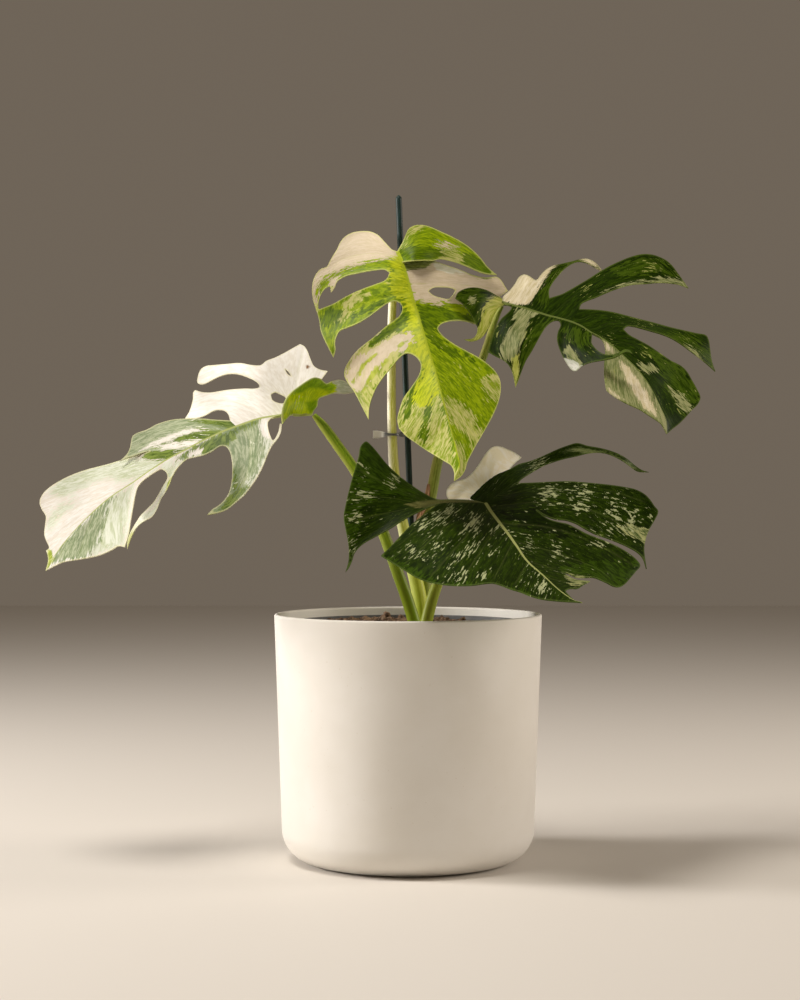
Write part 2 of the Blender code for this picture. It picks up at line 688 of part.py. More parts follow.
def plain_material(name, colour, roughness, metallic=0.0):
    material = bpy.data.materials.new(name)
    material.use_nodes = True
    shader = material.node_tree.nodes["Principled BSDF"]
    shader.inputs["Base Color"].default_value = (*colour, 1)
    shader.inputs["Roughness"].default_value = roughness
    shader.inputs["Metallic"].default_value = metallic
    material.diffuse_color = (*colour, 1)
    return material


def add_object(name, data, material, collection):
    placed = bpy.data.objects.new(name, data)
    data.materials.append(material)
    collection.objects.link(placed)
    return placed


def leaf(name, drawing, colour, collection):
    """One blade: its patches welded along their shared lines, then given their thickness."""
    lines = {key: smooth_line(points, EDGE_STEP_PX) for key, points in drawing["lines"].items()}
    shape = bmesh.new()
    for patch in drawing["patches"]:
        places, triangles = patch_mesh(patch, lines)
        vertices = [shape.verts.new(place) for place in places]
        for triangle in triangles:
            shape.faces.new([vertices[i] for i in triangle])
    bmesh.ops.remove_doubles(shape, verts=shape.verts, dist=0.05 * MM)
    loose = [vertex for vertex in shape.verts if not vertex.link_faces]
    bmesh.ops.delete(shape, geom=loose, context="VERTS")
    mesh = bpy.data.meshes.new(name)
    shape.to_mesh(mesh)
    shape.free()
    mesh.shade_smooth()
    blade = add_object(name, mesh, plain_material(name, colour, 0.45), collection)
    group = blade.vertex_groups.new(name="thickness")
    for index, share in enumerate(thickness_shares(mesh, lines["rib"])):
        group.add([index], share, "REPLACE")
    wall = blade.modifiers.new("thickness", "SOLIDIFY")
    wall.thickness = RIB_THICKNESS
    wall.offset = -1
    wall.vertex_group = group.name
    return blade


def turned(name, profile, material, collection):
    """A shape turned about +Z from a closed profile of (radius, height), outer side first."""
    mesh = bpy.data.meshes.new(name)
    rows = [(radius, 0, height) for radius, height in profile]
    sides = [(i, (i + 1) % len(rows)) for i in range(len(rows))]
    off_axis = [side for side in sides if rows[side[0]][0] > 0 or rows[side[1]][0] > 0]
    mesh.from_pydata(rows, off_axis, [])
    shape = add_object(name, mesh, material, collection)
    screw = shape.modifiers.new("turn", "SCREW")
    screw.steps = ROUND_SEGMENTS
    screw.render_steps = ROUND_SEGMENTS
    screw.use_merge_vertices = True
    screw.merge_threshold = 0.00001
    screw.use_normal_calculate = True
    return shape


def arc(centre, radius, start, end, count):
    """Points (radius, height) on an arc, angles in degrees from the outward direction."""
    angles = np.radians(np.linspace(start, end, count))
    return [(centre[0] + radius * math.cos(a), centre[1] + radius * math.sin(a)) for a in angles]


def cover_pot(collection):
    rim = RIM_DIAMETER / 2
    waist = WAIST_DIAMETER / 2
    foot = waist - FOOT_CORNER
    inner_corner = FOOT_CORNER - WALL
    lip = WALL / 2
    profile = [
        *arc((rim - lip, POT_HEIGHT - lip), lip, 90, 0, 4),
        ((rim + waist) / 2, POT_HEIGHT * 0.55),
        *arc((foot, FOOT_CORNER), FOOT_CORNER, 0, -90, 7),
        (0, 0),
    ]
    inside_profile = [
        (0, WALL),
        *arc((foot, FOOT_CORNER), inner_corner, -90, 0, 6),
        ((rim + waist) / 2 - WALL, POT_HEIGHT * 0.55),
        *arc((rim - lip, POT_HEIGHT - lip), lip, 180, 120, 3),
    ]
    material = plain_material("cover_pot", (0.83, 0.79, 0.71), 0.5)
    return turned("cover_pot", profile + inside_profile, material, collection)


def nursery_pot(collection):
    """The thin dark pot, which stands on the cover pot's floor."""
    rim = NURSERY_DIAMETER / 2
    foot = NURSERY_FOOT_DIAMETER / 2
    floor = WALL + TOUCH_GAP
    band = 0.012
    step = 0.0022
    wall = NURSERY_WALL
    profile = [
        (rim, NURSERY_RIM_Z),
        (rim, NURSERY_RIM_Z - band),
        (rim - step, NURSERY_RIM_Z - band - 0.001),
        (foot, floor + 0.004),
        (foot - 0.003, floor),
        (0, floor),
        (0, floor + wall),
        (foot - 0.004, floor + wall),
        (foot - wall, floor + 0.005),
        (rim - step - wall, NURSERY_RIM_Z - band - 0.002),
        (rim - wall, NURSERY_RIM_Z - band + 0.001),
        (rim - wall, NURSERY_RIM_Z),
    ]
    material = plain_material("nursery_pot", (0.03, 0.03, 0.032), 0.4)
    return turned("nursery_pot", profile, material, collection)


def soil_solid(collection, cutters):
    """The potting mix, as deep as the pot, with an uneven top and a hole for each stem."""
    floor = WALL + TOUCH_GAP + NURSERY_WALL + TOUCH_GAP
    top_radius = NURSERY_DIAMETER / 2 - 0.0022 - NURSERY_WALL - 0.0010
    foot_radius = NURSERY_FOOT_DIAMETER / 2 - NURSERY_WALL - 0.0034
    rings = [0.25, 0.5, 0.72, 0.9, 1.0]
    sectors = 40
    shape = bmesh.new()
    rows = []
    for share in rings:
        row = []
        for sector in range(sectors):
            angle = math.tau * sector / sectors
            radius = top_radius * share
            swell = math.sin(3 * angle + 9 * share) + math.sin(7 * angle - 17 * share)
            x, y = radius * math.cos(angle), radius * math.sin(angle)
            row.append(shape.verts.new((x, y, SOIL_Z - 0.0012 + 0.0009 * swell - SOIL_SLOPE * x)))
        rows.append(row)
    rows.append([
        shape.verts.new((foot_radius * math.cos(a), foot_radius * math.sin(a), floor))
        for a in (math.tau * sector / sectors for sector in range(sectors))
    ])
    middle = shape.verts.new((0, 0, SOIL_Z - 0.001))
    for sector in range(sectors):
        after = (sector + 1) % sectors
        shape.faces.new((middle, rows[0][sector], rows[0][after]))
        for inner, outer in zip(rows, rows[1:]):
            shape.faces.new((inner[sector], outer[sector], outer[after]))
            shape.faces.new((inner[sector], outer[after], inner[after]))
    shape.faces.new(rows[-1][::-1])
    bmesh.ops.recalc_face_normals(shape, faces=shape.faces)
    mesh = bpy.data.meshes.new("soil")
    shape.to_mesh(mesh)
    shape.free()
    soil = add_object("soil", mesh, plain_material("soil", (0.11, 0.07, 0.045), 0.95), collection)
    for cutter in cutters:
        cut = soil.modifiers.new(cutter.name, "BOOLEAN")
        cut.operation = "DIFFERENCE"
        cut.object = cutter
    return soil


def rod(name, stations, material, collection, sides):
    """A closed round rod through stations of (place, radius), swept without twist."""
    shape = bmesh.new()
    rings = []
    places = [Vector(place) for place, _ in stations]
    side = Vector((0, -1, 0))
    for index, (place, radius) in enumerate(stations):
        ahead = places[min(index + 1, len(places) - 1)]
        behind = places[max(index - 1, 0)]
        direction = (ahead - behind).normalized()
        side = (side - direction * side.dot(direction)).normalized()
        across = direction.cross(side)
        rings.append([
            shape.verts.new(Vector(place) + radius * (math.cos(a) * side + math.sin(a) * across))
            for a in (math.tau * k / sides for k in range(sides))
        ])
    for lower, upper in zip(rings, rings[1:]):
        for k in range(sides):
            after = (k + 1) % sides
            shape.faces.new((lower[k], lower[after], upper[after], upper[k]))
    shape.faces.new(rings[0][::-1])
    shape.faces.new(rings[-1])
    bmesh.ops.recalc_face_normals(shape, faces=shape.faces)
    mesh = bpy.data.meshes.new(name)
    shape.to_mesh(mesh)
    shape.free()
    mesh.shade_smooth()
    return add_object(name, mesh, material, collection)


# Each stalk, as (x, y, depth, diameter in millimetres), from the soil up to its blade
STALKS = {
    "petiole_left": [
        (416, 628, -7, 10.4), (407.5, 600, -7, 10.0), (398, 574, -8, 9.6), (386, 540, -8, 9.4),
        (372, 506, -5, 9.2), (357, 474, -3, 9.0), (338, 446, 1, 8.6), (323, 425.5, 5.5, 7.6),
        (314.2, 415.2, 7.4, 4.4),
    ],
    "petiole_top": [
        (423, 628, 7, 12.4), (419, 595, 7, 12.0), (411, 560, 7, 11.0), (403, 526, 7, 9.6),
        (397, 495, 7, 8.8), (393.5, 462, 7, 8.2), (392, 430, 7, 7.6), (391.5, 395, 7, 7.2),
        (391.5, 355, 6, 7.0), (392, 315, 5, 6.8), (394.5, 276, 2.6, 6.2), (397, 258.5, 0.0, 4.6),
    ],
    "petiole_right": [
        (426, 624, 25, 10.4), (425, 590, 24, 10.0), (425, 550, 23, 9.6), (427, 518, 21, 9.2),
        (432, 492, 20, 9.0), (438, 460, 20, 8.8), (449, 430, 20, 8.4), (463, 400, 21, 7.8),
        (477, 372, 22, 7.2), (487, 346, 23, 6.6), (493, 326, 25, 6.0), (498, 313, 27, 5.0),
        (502, 306.2, 27.4, 3.6),
    ],
    "petiole_front": [
        (425, 628, -19, 10.0), (431, 603, -18, 9.6), (437, 585, -17, 9.0), (446, 562, -16, 8.4),
        (457, 541, -17, 7.8), (468, 525, -22, 7.0), (477, 514.5, -26.5, 6.0), (484.4, 507.9, -31.6, 4.0),
    ],
}
STAKE = [(398.6, 195.2, 18), (414.6, 622, 18)]
STALK_COLOURS = {
    "petiole_left": (0.30, 0.42, 0.10),
    "petiole_top": (0.72, 0.74, 0.42),
    "petiole_right": (0.33, 0.42, 0.14),
    "petiole_front": (0.42, 0.55, 0.14),
}


def below(top, under, depth):
    """The place reached by running on from one place through another, down by a depth."""
    direction = (under - top).normalized()
    return under + direction * (depth / -direction.z)


def stations_of(stalk):
    """The stalk's stations, run on down into the soil."""
    places = [at(x, y, depth) for x, y, depth, _ in stalk]
    radii = [diameter / 2 * MM for *_, diameter in stalk]
    foot = below(places[1], places[0], STALK_IN_SOIL)
    return [(foot, radii[0]), *zip(places, radii)]


def stalks(collection):
    return [
        rod(name, stations_of(stalk), plain_material(name, STALK_COLOURS[name], 0.4), collection, STALK_SIDES)
        for name, stalk in STALKS.items()
    ]


def stake_stations():
    top, ground = (at(*end) for end in STAKE)
    radius = STAKE_DIAMETER / 2
    return [(below(top, ground, STAKE_IN_SOIL), radius), (top, radius)]


def hole_cutters(collection):
    """Plain round cutters a little wider than each stem, from above the soil to under its foot."""
    material = plain_material("cutter", (1, 0, 0), 1)
    stems = {name: stations_of(stalk)[:2] for name, stalk in STALKS.items()}
    stems["stake"] = stake_stations()
    cutters = []
    for name, stations in stems.items():
        foot, ground = Vector(stations[0][0]), Vector(stations[1][0])
        rise = (ground - foot).normalized()
        radius = stations[0][1] + HOLE_CLEARANCE
        top = foot + rise * ((SOIL_Z + 0.02 - foot.z) / rise.z)
        ends = [(foot - rise * HOLE_CLEARANCE, radius), (top, radius)]
        cutter = rod("cutter_" + name, ends, material, collection, STALK_SIDES)
        cutter.hide_render = True
        cutter.display_type = "WIRE"
        cutters.append(cutter)
    return cutters


# The tie, as (x, depth, height in millimetres): its square end, the band round the stalk, its point
TIE_Y = 434.5
TIE = [
    (373.0, 9.0, 6.4), (378.0, 9.0, 6.4), (382.0, 8.2, 5.0), (384.8, 5.6, 4.0), (387.4, 3.0, 2.6),
    (391.5, 2.2, 1.9), (395.6, 2.7, 2.0), (398.6, 5.4, 2.8), (401.2, 10.0, 4.2), (403.8, 13.4, 4.4),
    (407.6, 14.4, 3.2), (412.0, 14.8, 0.9),
]
TIE_THICKNESS = 0.0009


def sheet(name, rows, thickness, offset, material, collection):
    """A thin sheet through rows of places, each row as long as the others."""
    mesh = bpy.data.meshes.new(name)
    width = len(rows[0])
    places = [place for row in rows for place in row]
    quads = [
        (i * width + k, (i + 1) * width + k, (i + 1) * width + k + 1, i * width + k + 1)
        for i in range(len(rows) - 1)
        for k in range(width - 1)
    ]
    mesh.from_pydata(places, [], quads)
    mesh.shade_smooth()
    made = add_object(name, mesh, material, collection)
    wall = made.modifiers.new("thickness", "SOLIDIFY")
    wall.thickness = thickness
    wall.offset = offset
    return made


def tie(collection):
    rows = []
    for x, depth, height in TIE:
        middle = at(x, TIE_Y, depth)
        rise = Vector((0, 0, height / 2 * MM))
        rows.append([middle - rise, middle + rise])
    material = plain_material("tie", (0.16, 0.18, 0.18), 0.45)
    return sheet("tie", rows, TIE_THICKNESS, 0, material, collection)


# The dried sheath round the left side of the right leaf's stalk, as (y, half its width in degrees,
# how far it stands off the stalk in millimetres)
SHEATH = [(484, 14, 0.5), (492, 34, 0.6), (500, 40, 1.2), (508, 34, 2.4), (515, 22, 3.8), (522, 7, 5.4)]
SHEATH_MIDDLE = 216
SHEATH_COLUMNS = 5
SHEATH_THICKNESS = 0.0008


def dried_sheath(collection):
    stalk = np.array(STALKS["petiole_right"], float)[::-1]
    rows = []
    for y, half_width, stand_off in SHEATH:
        x, depth, diameter = (np.interp(y, stalk[:, 1], stalk[:, i]) for i in (0, 2, 3))
        middle = at(x, y, depth)
        radius = (diameter / 2 + stand_off) * MM
        low, high = SHEATH_MIDDLE - half_width, SHEATH_MIDDLE + half_width
        angles = np.radians(np.linspace(low, high, SHEATH_COLUMNS))
        rows.append([middle + Vector((radius * math.cos(a), radius * math.sin(a), 0)) for a in angles])
    material = plain_material("dried_sheath", (0.45, 0.22, 0.08), 0.7)
    return sheet("dried_sheath", rows, SHEATH_THICKNESS, 1, material, collection)


def main():
    for old in list(bpy.data.objects):
        bpy.data.objects.remove(old)
    plant = bpy.data.collections.new("potted_monstera")
    helpers = bpy.data.collections.new("cutters")
    bpy.context.scene.collection.children.link(plant)
    bpy.context.scene.collection.children.link(helpers)

    cover_pot(plant)
    nursery_pot(plant)
    soil_solid(plant, hole_cutters(helpers))
    stalks(plant)
    stake_material = plain_material("stake", (0.02, 0.07, 0.075), 0.5)
    rod("stake", stake_stations(), stake_material, plant, STAKE_SIDES)
    tie(plant)
    dried_sheath(plant)
    leaf("leaf_left", LEFT_LEAF, (0.72, 0.74, 0.62), plant)
    leaf("leaf_top", TOP_LEAF, (0.45, 0.58, 0.10), plant)
    leaf("leaf_right", RIGHT_LEAF, (0.06, 0.13, 0.03), plant)
    leaf("leaf_front", FRONT_LEAF, (0.04, 0.11, 0.03), plant)


main()
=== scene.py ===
# %% [markdown]
# # Potted monstera
#
# A young variegated split-leaf monstera on a thin stake, in a black nursery pot that stands inside
# a matte cream cover pot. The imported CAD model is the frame. This lesson dresses it: blades with
# veins and variegation, stalks with streaks, a rough soil, and the two pots.

import math

import bpy
import numpy as np
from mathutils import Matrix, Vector, noise
from mathutils.geometry import delaunay_2d_cdt


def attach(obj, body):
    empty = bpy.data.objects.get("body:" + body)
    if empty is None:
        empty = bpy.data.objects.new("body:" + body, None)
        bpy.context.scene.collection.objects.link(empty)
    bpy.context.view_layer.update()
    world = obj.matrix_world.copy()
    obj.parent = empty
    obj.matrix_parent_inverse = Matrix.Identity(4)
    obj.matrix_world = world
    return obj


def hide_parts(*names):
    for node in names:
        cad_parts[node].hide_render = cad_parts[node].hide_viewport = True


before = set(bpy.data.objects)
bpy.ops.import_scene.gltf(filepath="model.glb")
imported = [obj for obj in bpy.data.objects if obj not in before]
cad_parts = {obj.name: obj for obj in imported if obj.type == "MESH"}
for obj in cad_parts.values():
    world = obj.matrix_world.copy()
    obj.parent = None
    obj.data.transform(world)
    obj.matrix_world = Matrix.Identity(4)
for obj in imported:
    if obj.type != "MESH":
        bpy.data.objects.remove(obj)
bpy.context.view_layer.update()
print("CAD nodes:", sorted(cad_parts))

# %% [markdown]
# ## The viewpoint
#
# The blades are drawn in the pixels of an 800 by 1000 frame, as a camera sees them that looks level
# at the plant. A point is `x,y,depth`, with the depth in millimetres behind the pot's axis. The
# cover pot's rim is 220 mm across and 267 pixels wide there, which gives the distance. Points could
# be given in metres instead, but then a crooked plant is hard to compare with what a camera sees.
# Only the depths are a guess, and they stand apart as the third number.

# %% Pixels and places
MM = 0.001
RIM_DIAMETER = 0.220
RIM_WIDTH_PX = 267
FOCAL_PX = 2025
FRAME_HEIGHT_PX = 1000
CENTRE_PX = 400
HORIZON_PX = 500
VIEW_DISTANCE = RIM_DIAMETER * FOCAL_PX / RIM_WIDTH_PX
VIEW_HEIGHT = 0.2955
VIEW_X = -0.0066
PX = VIEW_DISTANCE / FOCAL_PX


def at(x, y, depth):
    """The place in metres of a pixel that lies depth millimetres behind the pot's axis."""
    reach = VIEW_DISTANCE + depth * MM
    return Vector((
        VIEW_X + (x - CENTRE_PX) * reach / FOCAL_PX,
        depth * MM,
        VIEW_HEIGHT - (y - HORIZON_PX) * reach / FOCAL_PX,
    ))


def points_in(words):
    """The points written as words: x,y or x,y,depth."""
    return [tuple(float(number) for number in word.split(",")) for word in words]


print("one pixel is", round(PX / MM, 3), "mm at the pot's axis")

# %% [markdown]
# ## The four blades
#
# A monstera's blade is one thin sheet, slit from its rim towards the midrib and holed beside it. It
# could be a plane with an image that makes the gaps transparent, but such gaps have no edge that
# catches light. So each blade is drawn as text: the slits and holes stay real edges, and a point is
# moved by changing one number.
#
# A drawing starts with the lines that its patches share: the midrib and some lateral veins. Then
# come the patches. An entry is a key with its points, and a slash parts the runs of one entry. The
# `edge` goes round the patch, in runs that meet at corners: a run that starts with a line's name
# follows that line from one of its points to another. `holes` are cut out. `pins` hold the depth
# inside. `veins` run from the midrib outwards. `sage`, `moss` and the like are the areas of a
# colour, and `flecks` are x,y,radius, where pale flecks lie thick.

# %% The left leaf, white and grey-green
LEFT_LEAF = """
rib: 312,412,5 300,413,4 291,413,3 276,415.5,1 260,418,0 236,426,-3 219,432.5,-5 200,441.5,-8
  187,448.5,-10 168,458.5,-14 150,470,-18 133,482,-23 110,497,-30 90,514.5,-37 74,531,-43 57,552,-50
  45.5,570.5,-56
third_vein: 236,426,-3 230,420.5,4
fourth_vein: 187,448.5,-10 168,449.5,-3 150,451,3

patch: white_lobes
edge: rib 312,412 236,426 / third_vein 236,426 230,420.5 / 230,420.5,4 228.5,415 225.5,411 219.5,409.5
  213,411 206,415 197,418 185,418.5,44 / 185,418.5,44 189,412 191.5,405 193,398 193,392.5 195,390,58 /
  195,390,58 202,392 210,392.5 220,391 230,389.5 245,388.5 255,388.5,26 259.5,387 259,384 254,380
  246,376.5 236,373.7 227,374 219,376.5 211,380.5 203,384 197.5,382.5,74 198,376 201,369 206,366 214,365
  226,364 240,363,66 252,365 261,365 266,361 275,357.5 284,353 292,348.5 300,344,70 / 300,344,70 304,346
  307.5,351 310.5,359 314,366 320,369.5 327.5,371,46 / 327.5,371,46 321,380 317,388,28 318,400 312,412,5
holes: 271,394 275,392 279,393.5 286,397.5 284,403 277,402.5 272,399.5 271,394 / 285,369 288,371 291,376
  287.5,374 285,369
pins: 222,402,34 250,404,16 280,372,46 262,375,40 300,366,52
veins: 300,411 296,385 303,350 / 288,412 262,385 228,368 199,376 / 265,417 240,403 215,400 194,404 /
  240,424 234,419 228,417
white: 170,335 340,335 340,400 312,430 236,440 170,430
brown: 306,365 310,365.5 309,369 306,368

patch: middle_lobe
edge: rib 236,426 187,448.5 / fourth_vein 187,448.5 150,451 / 150,451,3 143,452.5 136,455 128,457.5
  119.5,461,-3 / 119.5,461,-3 126,455 129.5,449 131,442 132.5,436,20 137,433 147,429.5 155,425
  163,422,30 173,419.5 187,418.5 202,418.5,20 214,419.5 230,420.5,4 / third_vein 230,420.5 236,426
pins: 170,436,14
veins: 236,426 205,421 160,427 135,436 / 215,434 180,434 150,440 133,448 / 195,445 165,449 145,452
  122,460
sage: 112,466 128,425 160,412 245,405 245,432 190,455 150,456
moss: 180,414 240,414 240,430 224,428 205,424 190,421 / 152,446 176,436 200,428 222,432 213,438 190,443
pale: 130,452 134,434 150,428 166,433 150,441 140,450
white: 138,452 150,443 166,436 189,428 212,430 190,432 170,440 / 150,449 168,443 198,439 204,442 186,447
  165,449
flecks: 200,425,24

patch: broad_end_above
edge: rib 187,448.5 45.5,570.5 / 45.5,570.5,-56 48,561 47.5,555 46,550.5,-42 / 46,550.5,-42 49,548
  46.5,541.5 44.3,535 45,525 45.7,516,-16 41.5,509 39.5,502,-6 42,495 48,488.5 57,482.3 68,476.5,12
  82,471 95,467.3 108,464,11 119.5,460.5,9 131,457.5 141,454.5 150,451,3 / fourth_vein 150,451 187,448.5
pins: 90,490,-8 62,515,-24
veins: 177,454 150,457 110,467 75,476 / 150,470 110,480 75,490 42,500 / 120,490 90,501 60,515 45,524 /
  90,514 65,530 46,545 / 66,541 50,556
pale: 48,494 58,479 95,462 128,455 150,461 130,474 90,483 62,498 / 112,464 150,459 182,452 160,468
  138,480 118,482 106,474 / 46,520 60,504 78,499 62,515 50,530
moss: 140,456 150,450 188,447.5 178,456 160,461 148,460
bright: 43,574 46,560 47,549 51,549 53,557 50,566

patch: lower_half
edge: rib 45.5,570.5 276,415.5 / 276,415.5,1 271,418 268,422 268,428 270,435 273,440.5,-24 276.5,436
  278.5,431 279.8,423.5,-15 / 279.8,423.5,-15 282,424,-15 / 282,424,-15 281,431 278,438 273,444 269,451
  265,461,-38 259,474 252,485 244,495 236,502,-64 228,508.5 218,512.5 207.5,514.5,-78 / 207.5,514.5,-78
  212,509.5 219,505 225,499 229,492 231.5,482,-50 232.3,470 231.5,459 229,450 225.5,446,-16 220,446
  213,450.5 204,454.8 195,457,-16 187,459 181,464 176,470,-26 172,477 169.5,484 166,491 161,499,-50
  157,509 152,516.5 145,520.5 138,525.5,-74 133,533 129.5,541 127,549,-84 / 127,549,-84 127.5,541
  130.5,532 135,524 141,515,-74 148,508 154,501.5 158.5,494,-48 163,486 167.5,477 166,472 162,469,-20
  156,471.5 149,476 142.5,481,-26 138,486.5 135.5,494 133,507,-48 130.5,521 128.5,534 124.5,547,-81 /
  124.5,547,-81 119,545.7 112,549.5 101,554.5 88,557.7,-68 74,560 63,562 54,566 45.5,570.5,-56
pins: 245,468,-36 100,535,-52
veins: 70,534 62,550 58,563 / 95,510 85,535 78,558 / 113,494 104,525 100,554 / 133,482 127,510 122,546 /
  183,451 170,476 157,503 138,527 127,547 / 205,439 200,452 / 245,423 250,447 246,476 231,501 208,514 /
  268,417 268,430 263,458
pale: 105,500 133,483 131,500 124,546 100,553 90,557 100,532 / 127,552 130,530 145,513 158,500 166,480
  152,474 162,467 178,468 172,486 160,508 140,527 / 158,469 186,457 190,460 177,470 170,480 166,470 /
  256,432 274,440 250,490 232,505 246,470
sage: 114,492 107,508 105,528 96,546 86,558 62,561 50,566 58,548 80,525 100,503 / 232,424 258,417
  262,434 268,446 258,470 244,492 225,514 203,518 226,496 230,470 228,452 222,447 205,456 180,458
  212,438
moss: 190,448 236,427 262,417 256,424 240,430
  226,448 206,456 200,452 188,458 176,459 / 250,487 228,510 203,518 220,507 238,488 / 232,470 238,466
  238,488 232,496
white: 187,455 196,449 205,448 200,454 190,459 / 260,420 266,417 269,426 271,440 263,436
bright: 43,574 49,562 54,556 55,560 / 164,494 168,482 176,470 182,465 178,476 171,487 / 125,552 129,535
  134,526 133,538
flecks: 245,445,24 235,480,16

patch: green_fold
folded: yes
edge: rib 291,413 312,412 / 312,412,5 317,406 318.5,398.5,-4 326,395.5 334,393.5,-2 346,394 358,391.5,8
  / 358,391.5,8 351,386.5 345,381.5 338,379.8,4 331,381.5 326,383.5 320,378.5 314,377.3,-16 307,380.5
  299,386,-20 291,392 285.5,399 282.5,407,-18 281.3,415 281.8,424,-13 / 281.8,424,-13 286,419 291,413,3
pins: 301,400,-13
veins: 308,412 316,400 335,389 356,391 / 302,412 304,398 312,379 / 294,413 287,411 283,421
lime: 270,436 275,400 305,370 328,376 336,385 334,396 322,402 318,416 300,420
pale: 328,378 334,372 364,376 364,396 336,394 330,388
deep: 290,392 300,384 314,376 326,384 336,386 330,391 318,388 308,388 300,393 / 306,402 318,398
  316,412 308,410
flecks: 296,400,8 312,394,7
"""
print("words in the left leaf's drawing:", len(LEFT_LEAF.split()))

